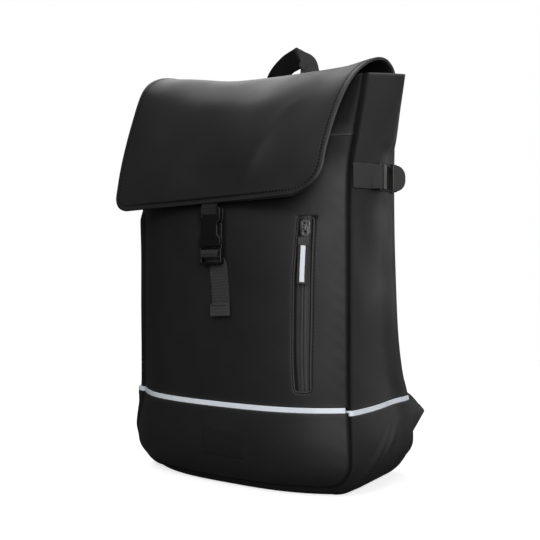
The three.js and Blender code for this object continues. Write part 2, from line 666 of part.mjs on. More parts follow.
// Bare label patch on the foot
add('label_patch', sheet(
  steps(4, LABEL.x - LABEL.wide / 2, LABEL.x + LABEL.wide / 2),
  steps(3, LABEL.z - LABEL.tall / 2, LABEL.z + LABEL.tall / 2),
  (x, z) => v3(x, zipFace(x, z) - GAP - LABEL.thick, z),
  (x, z) => v3(x, zipFace(x, z) - GAP, z),
), coated);

// Shoulder straps: padded band, lock, webbing and the wing sewn in at the foot of the back
const ringShares = steps(SHOULDER.sides, 0, 2 * Math.PI).slice(0, SHOULDER.sides);
const power = (value, p) => Math.sign(value) * Math.abs(value) ** p;
[['right', 1], ['left', -1]].forEach(([name, hand]) => {
  const knots = SHOULDER_LINE.map((row) => onBack(hand * row.x, row.z, row.off));
  const line = smooth(knots, SHOULDER.steps);
  const rings = line.map((p, k) => {
    const before = line[Math.max(k - 1, 0)];
    const after = line[Math.min(k + 1, line.length - 1)];
    const tangent = after.clone().sub(before).normalize();
    const wide = v3(1, 0, 0).addScaledVector(tangent, -tangent.x).normalize();
    const up = tangent.clone().cross(wide).normalize();
    const taper = k === 0 || k === line.length - 1 ? SHOULDER.ends : 1;
    return ringShares.map((angle) => p.clone()
      .addScaledVector(wide, power(Math.cos(angle), SHOULDER.edge) * SHOULDER.wide / 2 * taper)
      .addScaledVector(up, power(Math.sin(angle), SHOULDER.face) * SHOULDER.thick / 2));
  });
  add(`shoulder_strap_${name}`, sweep(rings), padding);

  const foot = line[line.length - 1];
  const down = foot.clone().sub(line[line.length - 2]).normalize();
  const wide = v3(hand, 0, 0).addScaledVector(down, -down.x * hand).normalize();
  const out = wide.clone().cross(down).multiplyScalar(hand).normalize();
  const lockSeat = foot.clone().addScaledVector(down, LOCK.half + GAP)
    .addScaledVector(out, -LOCK.thick / 2);
  const place = frame(down, out.clone().cross(down), out, lockSeat);
  add(`strap_lock_${name}`, ladderLock(WEB).applyMatrix4(place), plastic);

  const inLock = STRAP_HOOK.map((row) => v3(row.along, 0, row.out).applyMatrix4(place));
  const fall = STRAP_FALL.map((row) => v3(hand * row.x, row.y, row.z));
  const turns = [...inLock.map(() => 0), ...STRAP_FALL.map((row) => row.turn)];
  const across = (k, tangent) => {
    const level = wide.clone().lerp(v3(0, 1, 0), turns[k]);
    return level.addScaledVector(tangent, -level.dot(tangent)).normalize();
  };
  add(`strap_webbing_${name}`, strap([...inLock, ...fall], across, WEB, WEB_THICK), webbing);

  const wingX = (z) => hand * (seamHalf(z) - WING.inset);
  const wingTop = (share) => mix(WING.high, WING.tip, share ** WING.round);
  const wingLow = (share) => mix(WING.low, WING.tipLow, share);
  const wingPoint = (share, v, side) => {
    const z = mix(wingLow(share), wingTop(share), v);
    const root = mix(WING.low, WING.high, v);
    const y = backFace(0.97, root) + SEAT + share * WING.reach;
    return v3(wingX(root) + hand * side * WING.thick / 2, y, z);
  };
  add(`strap_wing_${name}`, sheet(
    steps(4),
    steps(4),
    (share, v) => wingPoint(share, v, 1),
    (share, v) => wingPoint(share, v, -1),
  ), coated);
});

export default rucksack;
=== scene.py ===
import bmesh
import bpy
import numpy as np
from mathutils import Matrix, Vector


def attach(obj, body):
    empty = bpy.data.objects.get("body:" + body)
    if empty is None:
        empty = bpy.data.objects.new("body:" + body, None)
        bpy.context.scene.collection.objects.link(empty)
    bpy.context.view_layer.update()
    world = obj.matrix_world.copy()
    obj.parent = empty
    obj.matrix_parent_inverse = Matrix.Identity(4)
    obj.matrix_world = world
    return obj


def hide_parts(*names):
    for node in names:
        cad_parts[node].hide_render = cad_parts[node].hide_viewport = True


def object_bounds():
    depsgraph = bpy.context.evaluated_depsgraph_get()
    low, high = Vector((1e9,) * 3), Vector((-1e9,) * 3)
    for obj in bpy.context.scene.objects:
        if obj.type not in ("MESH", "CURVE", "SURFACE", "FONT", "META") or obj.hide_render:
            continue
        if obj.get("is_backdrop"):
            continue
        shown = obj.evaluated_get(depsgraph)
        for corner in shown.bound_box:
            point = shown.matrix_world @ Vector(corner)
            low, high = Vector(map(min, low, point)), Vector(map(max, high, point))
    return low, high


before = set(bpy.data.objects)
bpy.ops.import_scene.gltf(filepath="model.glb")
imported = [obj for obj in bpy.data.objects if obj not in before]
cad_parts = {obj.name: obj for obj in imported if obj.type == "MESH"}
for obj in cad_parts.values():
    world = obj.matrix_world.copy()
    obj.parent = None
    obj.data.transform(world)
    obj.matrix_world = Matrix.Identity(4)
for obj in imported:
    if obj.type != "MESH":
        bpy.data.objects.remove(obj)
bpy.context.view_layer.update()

# Front foot
# The lowest front panel: rubber-coated fabric over thin foam, turned in along a seam that runs round
# its lower corners. Its upper edge is rolled in under the reflective stripe and sewn down there.
MM = 0.001
RIGHT, BACK, UP = np.eye(3)
FRONT = -BACK
GAP = 0.3
WALL = 2.2
CELL = 2.6
FOOT_CELL = 2.2
FINE_CELLS = np.array([0, 0.25, 0.55, 0.9, 1.3, 1.8, 2.4, 3.1, 4.0, 5.0, 6.2])
LINE_CLEAR = 0.6
LINE_LEAST = 0.12
BOTTOM_SEAM = 10.0
CORNER = 28.0
FRONT_HALF = 138.0
TUCK = 1.8
FRONT_ROLL = 2.4
# Width of the painted seam shade along the front's edges.
FRONT_SHADE = 3.0
STRIPE_ROLL = 1.6
STRIPE = {"low": 86.3, "high": 91.7}
SET_IN = {"deep": 5.0, "from": 0.5, "low": 35.0, "full": 88.0, "fade": 285.0, "end": 308.0}
PUCKER = {"high": 0.22, "reach": 8.0, "apart": 17.0, "stray": 1.5, "stray_over": 31.0}
WAVE_COUNT = 10
FRONT_WAVES = {"high": 0.5, "shortest": 70, "longest": 190, "seed": 4, "edge": 25.0}
BULGE_POWER = 3
# Edge band: reach and usual strength of the edge colour mixed in along cloth edges; on the coated fabric that
# colour is edge wear plus a painted highlight.
EDGE_BAND_REACH = 1.4
EDGE_BAND_STRENGTH = 0.3
# Painted shade in the seams: the near-black colour and the extra roughness mixed in where the cloth dips into
# a seam.
SEAM_SHADE = {"color": (0.0015, 0.0015, 0.0015), "rougher": 0.4}
COATING = {"specular": 0.28, "smoother": 0.04, "rougher": 0.05}
CLOUD_SPAN = (0.3, 0.7)


def table(columns, *rows):
    """Table of numbers with named columns."""
    return np.array(list(rows), dtype=[(name, float) for name in columns.split()])


# The body by height: half its width between the seams, the depth of its front seam and back edge, the
# bulge of its front, and the puff of its sides with the power it falls off by towards both edges.
BODY = table(
    "z half_width front back bulge puff crease",
    (10, 140.5, -69, 61, 24, 6, 2),
    (26, 141.5, -70, 64, 32, 7, 2),
    (52, 141.5, -70, 64, 37, 7, 2),
    (89, 138.5, -67, 57, 38.5, 4, 2),
    (116, 138, -67, 44, 38.5, 3, 2),
    (161, 138, -67, 32.5, 38, 4, 2),
    (241, 138, -67, 25, 37.5, 6, 2),
    (301, 138, -67, 22.5, 36, 11, 1.9),
    (333, 138, -65, 22.5, 32, 17.5, 1.75),
    (363, 138, -56, 23.5, 27, 25, 1.55),
    (401, 138, -43, 25, 19, 28, 1.35),
    (431, 137.5, -33, 28, 14, 30, 1.25),
)


def cubic(at, value, where):
    """Smooth function through rows: a cubic between each two rows, with a row's slope taken from the
    rows on both sides of it."""
    rows = np.arange(len(at))
    before = np.maximum(rows - 1, 0)
    after = np.minimum(rows + 1, len(at) - 1)
    deep = (...,) + (None,) * (value.ndim - 1)
    slope = (value[after] - value[before]) / (at[after] - at[before])[deep]
    where = np.clip(where, at[0], at[-1])
    k = np.clip(np.searchsorted(at, where) - 1, 0, len(at) - 2)
    span = (at[k + 1] - at[k])[deep]
    t = (where - at[k])[deep] / span
    start = value[k] * (2 * t**3 - 3 * t**2 + 1) + slope[k] * span * (t**3 - 2 * t**2 + t)
    return start + value[k + 1] * (3 * t**2 - 2 * t**3) + slope[k + 1] * span * (t**3 - t**2)


def along(rows, name, where, by="z"):
    """One column of a table as a smooth function of another."""
    return cubic(rows[by], rows[name], np.asarray(where, float))


def seam_half(z):
    """Half width of the front seam: the body's half width, drawn in along a quarter circle where
    the bottom corner is rounded."""
    short = CORNER - np.clip(z - BOTTOM_SEAM, 0, CORNER)
    return along(BODY, "half_width", z) - CORNER + np.sqrt(CORNER**2 - short**2)


def front_y(u, z, step=0.0):
    """Front face at a share u of the half width: the seam's depth less a bulge that falls off as
    the cube of u towards both seams."""
    return along(BODY, "front", z) - (along(BODY, "bulge", z) - step) * (1 - np.abs(u) ** BULGE_POWER)


def edge_gap(x, rise, half, corner):
    """Distance in from an outline that is open at the top and has two rounded lower corners: x is
    measured from its middle and rise from its lower edge."""
    beyond = np.abs(x) - (half - corner)
    below = corner - rise
    outside = np.hypot(np.maximum(beyond, 0), np.maximum(below, 0))
    return corner - outside - np.minimum(np.maximum(beyond, below), 0)


def roll_in(gap, radius):
    """How deep a turned edge sinks: a quarter round that starts one radius before the edge."""
    short = np.clip(radius - gap, 0, radius)
    return radius - np.sqrt(radius**2 - short**2)


def ease(value, start, end):
    """Smooth step from 0 at start to 1 at end."""
    t = np.clip((value - start) / (end - start), 0, 1)
    return t * t * (3 - 2 * t)


def waves(a, b, size):
    """Unevenness of filled cloth: plain waves of seeded chance direction, length and phase, summed
    and scaled to about the height in size."""
    chance = np.random.default_rng(size["seed"])
    angle = chance.uniform(0, np.pi, WAVE_COUNT)
    length = chance.uniform(size["shortest"], size["longest"], WAVE_COUNT)
    phase = chance.uniform(0, 2 * np.pi, WAVE_COUNT)
    turn = (a[..., None] * np.cos(angle) + b[..., None] * np.sin(angle)) * 2 * np.pi / length
    return size["high"] * np.sin(turn + phase).sum(-1) / np.sqrt(WAVE_COUNT)


def grid_lines(start, end, apart, close=None, exact=()):
    """Places of grid lines from start to end: evenly apart, with finer lines on both sides of each
    place in close, which is both ends unless it is given, and a line at each place in exact."""
    even = np.linspace(start, end, int(round((end - start) / apart)) + 1)
    fine = [place + side * FINE_CELLS for place in (close or (start, end)) for side in (-1, 1)]
    lines = np.unique(np.clip(np.concatenate([even, *fine]), start, end).round(2))
    for place in exact:
        lines = np.sort(np.append(lines[np.abs(lines - place) > LINE_CLEAR], place))
    return lines[np.append(np.diff(lines) > LINE_LEAST, True)]


def build(name, points, faces, uv=None, **attributes):
    """Mesh object from points in mm and faces. uv is one pair for each face corner, and each further
    attribute one number for each point."""
    mesh = bpy.data.meshes.new(name)
    mesh.from_pydata((points.reshape(-1, 3) * MM).tolist(), [], [list(map(int, face)) for face in faces])
    mesh.polygons.foreach_set("use_smooth", np.ones(len(mesh.polygons), bool))
    if uv is not None:
        mesh.uv_layers.new(name="UVMap").data.foreach_set("uv", np.asarray(uv, float).ravel())
    for label, values in attributes.items():
        mesh.attributes.new(label, "FLOAT", "POINT").data.foreach_set("value", values.astype(np.float32))
    made = bpy.data.objects.new(name, mesh)
    bpy.context.scene.collection.objects.link(made)
    return made


def numbered(grid):
    """Vertex numbers of a grid of points, row by row."""
    return np.arange(grid.shape[0] * grid.shape[1]).reshape(grid.shape[:2])


def quads(ids):
    """Four corners of each cell of a grid of vertex numbers."""
    return np.stack([ids[:-1, :-1], ids[1:, :-1], ids[1:, 1:], ids[:-1, 1:]], -1).reshape(-1, 4)


def unit(vectors):
    """Vectors scaled to length one."""
    vectors = np.asarray(vectors, float)
    return vectors / (np.linalg.norm(vectors, axis=-1, keepdims=True) + 1e-12)


def skin_normals(points, faces):
    """Unit normal at each point: the sum of the crossed diagonals of the faces round it."""
    a, b, c, d = (points[faces[:, k]] for k in range(4))
    total = np.zeros_like(points)
    np.add.at(total, faces.ravel(), np.repeat(np.cross(c - a, d - b), 4, axis=0))
    return unit(total)


def border_run(grid):
    """Distance of each grid point from the nearest border, walked along its row or column."""
    reach = []
    for axis in (0, 1):
        step = np.linalg.norm(np.diff(grid, axis=axis), axis=-1)
        walked = np.insert(np.cumsum(step, axis), 0, 0, axis)
        reach.append(np.minimum(walked, walked.take([-1], axis) - walked))
    return np.minimum(*reach)


def cloth(name, points, faces, border, thick, towards, seam=None, band_strength=EDGE_BAND_STRENGTH):
    """Closed sheet behind an outer face: both its faces stand off the middle surface by half the
    thickness times the root of 1 - (1 - e) squared, with e the border distance over half the
    thickness, so every edge is round. One attribute is the edge band, where a material mixes in its
    edge colour (on the coated fabric edge wear plus a painted highlight); it dies out inwards. The
    attribute seam is 1 where the cloth dips into a seam, and there the coated fabric gets painted shade."""
    points, border = points.reshape(-1, 3), border.ravel()
    normal = skin_normals(points, faces)
    side = np.sign((normal * np.reshape(towards, (-1, 3))).sum())
    normal *= side
    share = np.clip(border / (thick / 2), 0, 1)
    half = (thick / 2 * np.sqrt(1 - (1 - share) ** 2))[:, None]
    middle = points - normal * thick / 2
    inner = border > 1e-6
    low = np.arange(len(points))
    low[inner] = len(points) + np.arange(inner.sum())
    both = np.concatenate([middle + normal * half, (middle - normal * half)[inner]])
    outer = faces if side > 0 else faces[:, ::-1]
    # Edge band, dying out inwards; on the coated fabric its colour is edge wear plus a painted highlight.
    edge_band = band_strength * np.exp(-border / EDGE_BAND_REACH)
    seam = 0 * border if seam is None else seam.ravel()
    doubled = {label: np.append(value, value[inner]) for label, value in {"edge_band": edge_band, "seam": seam}.items()}
    return build(name, both, np.concatenate([outer, low[outer][:, ::-1]]), **doubled)


def grid_cloth(name, grid, thick, towards, seam=None, band_strength=EDGE_BAND_STRENGTH):
    """Closed sheet behind a grid of points of its outer face."""
    return cloth(name, grid, quads(numbered(grid)), border_run(grid), thick, towards, seam, np.ravel(band_strength))


def add_node(tree, kind, inputs=None, **settings):
    """Adds a shader node, sets its properties, and joins or fills its inputs."""
    made = tree.nodes.new(kind)
    for key, value in settings.items():
        setattr(made, key, value)
    for key, value in (inputs or {}).items():
        if isinstance(value, bpy.types.NodeSocket):
            tree.links.new(value, made.inputs[key])
        else:
            made.inputs[key].default_value = value
    return made


def new_group(name, inputs, outputs):
    """Shader node group with named sockets; returns it with its inlet's sockets and its outlet's."""
    group = bpy.data.node_groups.new(name, "ShaderNodeTree")
    kinds = {"value": "NodeSocketFloat", "place": "NodeSocketVector"}
    for label, kind in inputs.items():
        group.interface.new_socket(label, in_out="INPUT", socket_type=kinds[kind])
    for label, kind in outputs.items():
        group.interface.new_socket(label, in_out="OUTPUT", socket_type=kinds[kind])
    return group, group.nodes.new("NodeGroupInput").outputs, group.nodes.new("NodeGroupOutput").inputs


def new_material(name, color, roughness, specular=0.5, metallic=0.0):
    """Material with one Principled shader; returns it with its tree and shader."""
    material = bpy.data.materials.new(name)
    material.use_nodes = True
    shader = material.node_tree.nodes["Principled BSDF"]
    shader.inputs["Base Color"].default_value = (*color, 1)
    shader.inputs["Roughness"].default_value = roughness
    shader.inputs["Specular IOR Level"].default_value = specular
    shader.inputs["Metallic"].default_value = metallic
    return material, material.node_tree, shader


def object_place(tree):
    """Place of a point in its object's own frame, in metres."""
    return add_node(tree, "ShaderNodeTexCoord").outputs["Object"]


def point_value(tree, label):
    """Attribute that a mesh carries for each of its points."""
    return add_node(tree, "ShaderNodeAttribute", attribute_name=label).outputs["Fac"]


def noise(tree, place, scale, detail=2.0, roughness=0.5):
    """Cloudy noise between about 0 and 1."""
    inputs = {"Vector": place, "Scale": scale, "Detail": detail, "Roughness": roughness}
    return add_node(tree, "ShaderNodeTexNoise", inputs).outputs[0]


def ramp(tree, value, first, last, span=CLOUD_SPAN):
    """Value mapped evenly from a span to the range from first to last, and held at both ends."""
    inputs = {0: value, 1: span[0], 2: span[1], 3: first, 4: last}
    return add_node(tree, "ShaderNodeMapRange", inputs).outputs[0]


def blend_color(tree, share, first, second):
    """Colour between two colours, by a share."""
    ends = {6: (*first, 1) if isinstance(first, tuple) else first, 7: (*second, 1)}
    return add_node(tree, "ShaderNodeMix", {0: share, **ends}, data_type="RGBA").outputs[2]


def join_looks(tree, shader, color, height=None, depth=0.0, roughness=None):
    """Joins a colour to a shader, and where they are given a height, as bump, and a roughness."""
    tree.links.new(color, shader.inputs["Base Color"])
    if height is not None:
        bump = add_node(tree, "ShaderNodeBump", {"Height": height, "Distance": depth})
        tree.links.new(bump.outputs[0], shader.inputs["Normal"])
    if roughness is not None:
        tree.links.new(roughness, shader.inputs["Roughness"])


grain, grain_in, grain_out = new_group(
    "coated_grain", {"Place": "place", "Scale": "value"}, {"Height": "value", "Cloud": "value"}
)
pores = noise(grain, grain_in["Place"], grain_in["Scale"], detail=3.0)
pebbles = add_node(
    grain, "ShaderNodeTexVoronoi",
    {"Vector": grain_in["Place"], "Scale": grain_in["Scale"]},
    feature="SMOOTH_F1",
)
relief = add_node(grain, "ShaderNodeMath", {0: pores, 1: pebbles.outputs["Distance"]}, operation="SUBTRACT")
grain.links.new(relief.outputs[0], grain_out["Height"])
cloud = noise(grain, grain_in["Place"], scale=22.0, detail=5.0, roughness=0.6)
grain.links.new(cloud, grain_out["Cloud"])


def coated_fabric(name, color, dusty, edge_color, roughness, grain_scale=1500.0, depth=0.00004):
    """Matt rubber coating: fine pebbled grain as bump, soft clouds that shift its colour towards a
    dusty tone and its roughness up and down, an edge colour along its edges, and painted shade in its seams,
    dark and rougher."""
    material, tree, shader = new_material(name, color, roughness, COATING["specular"])
    spots = {"Place": object_place(tree), "Scale": grain_scale}
    skin = add_node(tree, "ShaderNodeGroup", spots, node_tree=grain).outputs
    seam = point_value(tree, "seam")
    # Edge colour mixed in along the edge band: on the black coating, edge wear plus a painted highlight.
    edged = blend_color(tree, point_value(tree, "edge_band"), blend_color(tree, skin["Cloud"], color, dusty), edge_color)
    gloss = ramp(tree, skin["Cloud"], roughness - COATING["smoother"], roughness + COATING["rougher"])
    dull = add_node(
        tree, "ShaderNodeMath", {0: seam, 1: SEAM_SHADE["rougher"], 2: gloss}, operation="MULTIPLY_ADD"
    )
    # Painted shade: the seams mixed towards near black.
    shaded = blend_color(tree, seam, edged, SEAM_SHADE["color"])
    join_looks(tree, shader, shaded, skin["Height"], depth, dull.outputs[0])
    return material


def finish_piece(piece, material, slot, *nodes):
    """Gives a piece its material and lets it ride in place of its frame nodes, which it hides. The slot
    argument is not used.
    """
    piece.data.materials.clear()
    piece.data.materials.append(material)
    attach(piece, "root")
    if nodes:
        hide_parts(*nodes)
    return piece


def left_set_in(x, z):
    """How far the front's left edge is drawn in, by height: a smooth step from the middle of its left
    half to its seam."""
    level = ease(z, SET_IN["low"], SET_IN["full"]) * (1 - ease(z, SET_IN["fade"], SET_IN["end"]))
    return SET_IN["deep"] * ease(-x / FRONT_HALF, SET_IN["from"], 1) * level


def front_point(across, z, step=0.0):
    """Outer face of the front at a place across, which runs to the front's half width at every
    height: the bulging front rolled in at the seam, with slight puckers that die out away from the
    seam and soft waves all over. Its left edge is drawn in."""
    u = across / FRONT_HALF
    gap = edge_gap(u * seam_half(z), z - BOTTOM_SEAM, along(BODY, "half_width", z), CORNER)
    y = front_y(u, z, step) + roll_in(gap, FRONT_ROLL)
    turn = 2 * np.pi * (across + z) / PUCKER["apart"] + PUCKER["stray"] * np.sin(z / PUCKER["stray_over"])
    y += PUCKER["high"] * np.exp(-gap / PUCKER["reach"]) * np.sin(turn)
    y += waves(across, z, FRONT_WAVES) * np.clip(gap / FRONT_WAVES["edge"], 0, 1)
    x = u * (seam_half(z) - TUCK)
    return np.stack([x + left_set_in(x, z), y, z], -1)


def front_panel(zs, step=0.0):
    """Grid of the front's outer face between two heights."""
    xs = grid_lines(-FRONT_HALF, FRONT_HALF, CELL)
    return front_point(*np.meshgrid(xs, zs, indexing="ij"), step)


def front_shade(grid):
    """Painted seam shade on the front: how far a point lies in its seam, 1 on the seam and 0 from a small way
    inside.
    """
    x, z = grid[..., 0], grid[..., 2]
    x = x - left_set_in(x, z)
    gap = edge_gap(x, z - BOTTOM_SEAM, along(BODY, "half_width", z) - TUCK, CORNER)
    return 1 - ease(gap, 0, FRONT_SHADE)


# Its pale edge colour is edge wear plus a painted highlight on the rounded edges; its seams get painted
# shade.
black_coating = coated_fabric(
    "black_coating",
    color=(0.0095, 0.0095, 0.01), dusty=(0.014, 0.014, 0.0145), edge_color=(0.2, 0.2, 0.2), roughness=0.5,
)
foot_top = STRIPE["low"] + GAP
foot_face = front_panel(grid_lines(BOTTOM_SEAM, foot_top, FOOT_CELL))
foot_face[..., 1] += roll_in(foot_top - foot_face[..., 2], STRIPE_ROLL)
front_foot = grid_cloth("front_foot_cloth", foot_face, WALL, FRONT, front_shade(foot_face))
finish_piece(front_foot, black_coating, "coated_fabric", "front_foot")

# Front pocket
# The tall middle panel of the same coated fabric, seamed at both sides and open along its turned
# top edge under the flap. An upright slot with a rolled, topstitched welt is cut for the zip.
POCKET_TOP = 363.0
ZIP = {"x": 98.0, "low": 108.0, "high": 279.0, "half": 7.4, "corner": 2.4}
ZIP_LEAN = table(
    "z shift widen",
    (108, 0.8, -1.2),
    (134, -0.3, -0.3),
    (160, -0.6, 0.1),
    (215, 0.3, 0.1),
    (250, 1.9, -0.8),
    (279, 3.4, -1.2),
)
LEAN = {"reach": 32.0, "power": 4, "low": 92.0, "full": 108.0, "fade": 285.0, "end": 330.0}
WELT = {"frame": 8.0, "roll": 1.1, "rise": 0.5, "reach": 1.5, "groove": 2.3, "sunk": 0.5, "soft": 0.6}
# Strength of the painted shade in the stitched groove round the welt.
WELT_GROOVE_SHADE = 0.45
WELT_STEPS = np.array([7, 5.5, 4.2, 3.4, 2.9, 2.6, 2.3, 2.0, 1.7, 1.35, 1.0, 0.7, 0.45, 0.25, 0.1, 0])
TOP_SEAM = {"above": 2.2, "full": 10.5, "half": 11.5, "sunk": 0.7, "soft": 0.7}
STITCH = {"pitch": 3.8, "long": 2.0, "thick": 1.4, "sunk": 0.2, "sides": 6}
STITCH_RINGS = table("share size", (0, 0.3), (0.12, 0.8), (0.5, 1), (0.88, 0.8), (1, 0.3))
pocket_low = STRIPE["high"] - GAP
zip_across = ZIP["x"] * FRONT_HALF / (FRONT_HALF - TUCK)
zip_middle = (ZIP["low"] + ZIP["high"]) / 2
zip_tall = (ZIP["high"] - ZIP["low"]) / 2


def bell(value, wide):
    """Bell curve, 1 at zero and dying out over a width: e to the minus square of their ratio."""
    return np.exp(-((value / wide) ** 2))


def slot_edge(across, z):
    """Distance outside the zip slot, a rectangle with rounded corners, with the nearest point of its
    corner-centre rectangle and the direction outwards from there."""
    way = np.stack([across - zip_across, z - zip_middle], -1)
    core = np.array([ZIP["half"] - ZIP["corner"], zip_tall - ZIP["corner"]])
    centre = np.clip(way, -core, core)
    far = np.linalg.norm(way - centre, axis=-1)
    return far - ZIP["corner"], centre + (zip_across, zip_middle), unit(way - centre)


def zip_lean(across, z):
    """Sideways pull of the cloth round the zip: by height it shifts and widens the slot, and it dies
    out as a flat-topped bell curve to both sides and as smooth steps past both ends."""
    away = across - zip_across
    fade = np.exp(-((away / LEAN["reach"]) ** LEAN["power"]))
    fade *= ease(z, LEAN["low"], LEAN["full"]) * (1 - ease(z, LEAN["fade"], LEAN["end"]))
    return fade * (along(ZIP_LEAN, "shift", z) + along(ZIP_LEAN, "widen", z) * np.tanh(away / ZIP["half"]))


def pocket_point(across, z):
    """Pocket face: the front, rolled in along the stripe, the top edge and the slot, with a welt that
    swells round the slot as a bell curve, a narrow stitched groove outside it, and a straight tuck
    above it. Round the zip it is drawn sideways."""
    point = front_point(across + zip_lean(across, z), z)
    out = slot_edge(across, z)[0]
    welt = roll_in(np.maximum(out, 0), WELT["roll"]) - WELT["rise"] * bell(out, WELT["reach"])
    welt += WELT["sunk"] * bell(out - WELT["groove"], WELT["soft"])
    tuck = bell(z - ZIP["high"] - TOP_SEAM["above"], TOP_SEAM["soft"])
    tuck *= 1 - ease(np.abs(across - zip_across), TOP_SEAM["full"], TOP_SEAM["half"])
    ends = roll_in(POCKET_TOP - z, STRIPE_ROLL) + roll_in(z - pocket_low, STRIPE_ROLL)
    point[..., 1] += welt + TOP_SEAM["sunk"] * tuck + ends
    return point


frame_x = zip_across + np.array([-1, 1]) * (ZIP["half"] + WELT["frame"])
frame_z = zip_middle + np.array([-1, 1]) * (zip_tall + WELT["frame"])
pocket_xs = grid_lines(-FRONT_HALF, FRONT_HALF, CELL, exact=frame_x)
pocket_zs = grid_lines(pocket_low, POCKET_TOP, CELL, exact=frame_z)
pocket_x, pocket_z = np.meshgrid(pocket_xs, pocket_zs, indexing="ij")
pocket_face = pocket_point(pocket_x, pocket_z)
ids = numbered(pocket_face)
i0, i1 = np.searchsorted(pocket_xs, frame_x)
j0, j1 = np.searchsorted(pocket_zs, frame_z)
whole = np.ones((len(pocket_xs) - 1, len(pocket_zs) - 1), bool)
whole[i0:i1, j0:j1] = False
ring = np.concatenate([ids[i0:i1, j0], ids[i1, j0:j1], ids[i1:i0:-1, j1], ids[i0, j1:j0:-1]])
_, ring_centre, ring_way = slot_edge(pocket_x.ravel()[ring], pocket_z.ravel()[ring])
lip = ring_centre[:, None] + ring_way[:, None] * (ZIP["corner"] + WELT_STEPS)[:, None]
lip_face = pocket_point(lip[..., 0], lip[..., 1])
lip_ids = np.column_stack([ring, ids.size + numbered(lip)])
pocket_faces = np.concatenate([quads(ids)[whole.ravel()], quads(np.vstack([lip_ids, lip_ids[:1]]))])
pocket_points = np.concatenate([pocket_face.reshape(-1, 3), lip_face.reshape(-1, 3)])
pocket_border = np.append(border_run(pocket_face), np.tile(WELT_STEPS, len(ring)))
pocket_shade = front_shade(pocket_points)
# Painted seam shade on the front, and painted shade in the welt's groove.
pocket_shade[ids.size:] = np.tile(WELT_GROOVE_SHADE * bell(WELT_STEPS - WELT["groove"], WELT["soft"]), len(ring))
used, pocket_faces = np.unique(pocket_faces, return_inverse=True)
front_pocket = cloth(
    "front_pocket_cloth", pocket_points[used], pocket_faces.reshape(-1, 4), pocket_border[used], WALL,
    FRONT, pocket_shade[used],
)
finish_piece(front_pocket, black_coating, "coated_fabric", "front_pocket")


def walk(line):
    """Distance walked along a line to each of its points."""
    return np.insert(np.cumsum(np.linalg.norm(np.diff(line, axis=0), axis=1)), 0, 0)


def read_off(where, known, values):
    """Each column of values at places between the known ones, on straight lines."""
    return np.stack([np.interp(where, known, column) for column in np.transpose(values)], -1)


def stitches(name, lines, thick=STITCH["thick"]):
    """Rows of thread stitches: on each line of points and outward directions, every stitch is five
    rings of six points between its two ends, thickest in the middle."""
    points, faces = [], []
    base = 0
    for line, out in lines:
        walked = walk(line)
        start = np.arange(0, walked[-1] - STITCH["long"], STITCH["pitch"])
        first, last = (read_off(start + run, walked, line) for run in (0, STITCH["long"]))
        axis, up = unit(last - first), unit(read_off(start + STITCH["long"] / 2, walked, out))
        side = unit(np.cross(axis, up))
        up = np.cross(side, axis)
        angle = np.arange(STITCH["sides"]) * 2 * np.pi / STITCH["sides"]
        turn = np.cos(angle)[:, None] * up[:, None] + np.sin(angle)[:, None] * -side[:, None]
        middle = first[:, None] + (last - first)[:, None] * STITCH_RINGS["share"][:, None]
        middle -= up[:, None] * STITCH["sunk"] * thick
        rings = middle[:, :, None] + turn[:, None] * (STITCH_RINGS["size"] * thick / 2)[:, None, None]
        ids = base + np.arange(rings[..., 0].size).reshape(rings.shape[:3])
        wrap = np.concatenate([ids, ids[:, :, :1]], 2)
        corners = [wrap[:, :-1, :-1], wrap[:, :-1, 1:], wrap[:, 1:, 1:], wrap[:, 1:, :-1]]
        faces += np.stack(corners, -1).reshape(-1, 4).tolist()
        faces += ids[:, -1].tolist() + ids[:, 0, ::-1].tolist()
        points.append(rings.reshape(-1, 3))
        base += points[-1].shape[0]
    return build(name, np.concatenate(points), faces)


thread, tree, shader = new_material("black_thread", (0.005, 0.005, 0.005), roughness=0.8, specular=0.1)
twist = noise(tree, object_place(tree), scale=2600.0)
plied = blend_color(tree, twist, (0.003, 0.003, 0.003), (0.008, 0.008, 0.008))
join_looks(tree, shader, plied, twist, depth=0.0002)
seam = ring_centre + ring_way * (ZIP["corner"] + WELT["groove"])
seam = np.vstack([seam, seam[:1]])
seam_line = pocket_point(seam[:, 0], seam[:, 1])
zip_stitches = stitches("zip_stitches", [(seam_line, np.tile(FRONT, (len(seam), 1)))])
finish_piece(zip_stitches, thread, "webbing")

# Front throat
# The panel between the pocket and the mouth, set back behind the pocket's turned top edge, with a
# plain hem at the mouth. Same coated fabric; the flap covers all but its right end.
HEM = 431.0
POCKET_STEP = 3.0
THROAT = {"sag": 12.0, "tuck": 1.4, "tuck_tall": 14.0}
throat_low = POCKET_TOP + GAP
throat_face = front_panel(grid_lines(throat_low, HEM, CELL), POCKET_STEP)
tucked = 1 - ease(throat_face[..., 2], throat_low, throat_low + THROAT["tuck_tall"])
throat_face[..., 1] += THROAT["tuck"] * tucked
throat_sag = THROAT["sag"] * (1 - (throat_face[..., 0] / FRONT_HALF) ** 2)
throat_face[..., 2] -= throat_sag * (throat_face[..., 2] - throat_low) / (HEM - throat_low)
front_throat = grid_cloth("front_throat_cloth", throat_face, WALL, FRONT, front_shade(throat_face))
finish_piece(front_throat, black_coating, "coated_fabric", "front_throat")

# Sides and base
# One strip of coated fabric goes round the foot from stripe to stripe, and one up each side. Their front
# edges turn in behind the front's seam, past which the left one rolls out; their back edges wrap the pad.
SEAM_BACK = 3.4
SEAM_ROLL = 3.6
# Painted seam shadow on the sides and base: its full and end widths from the front edge, and how much wider
# it grows towards the top.
SEAM_SHADOW = {"full": 0.5, "end": 2.4, "wider": 0.5, "from": 280.0, "to": 350.0}
FLANGE = {"in": 6.0, "back": -1.8}
BACK_ROLL = 1.4
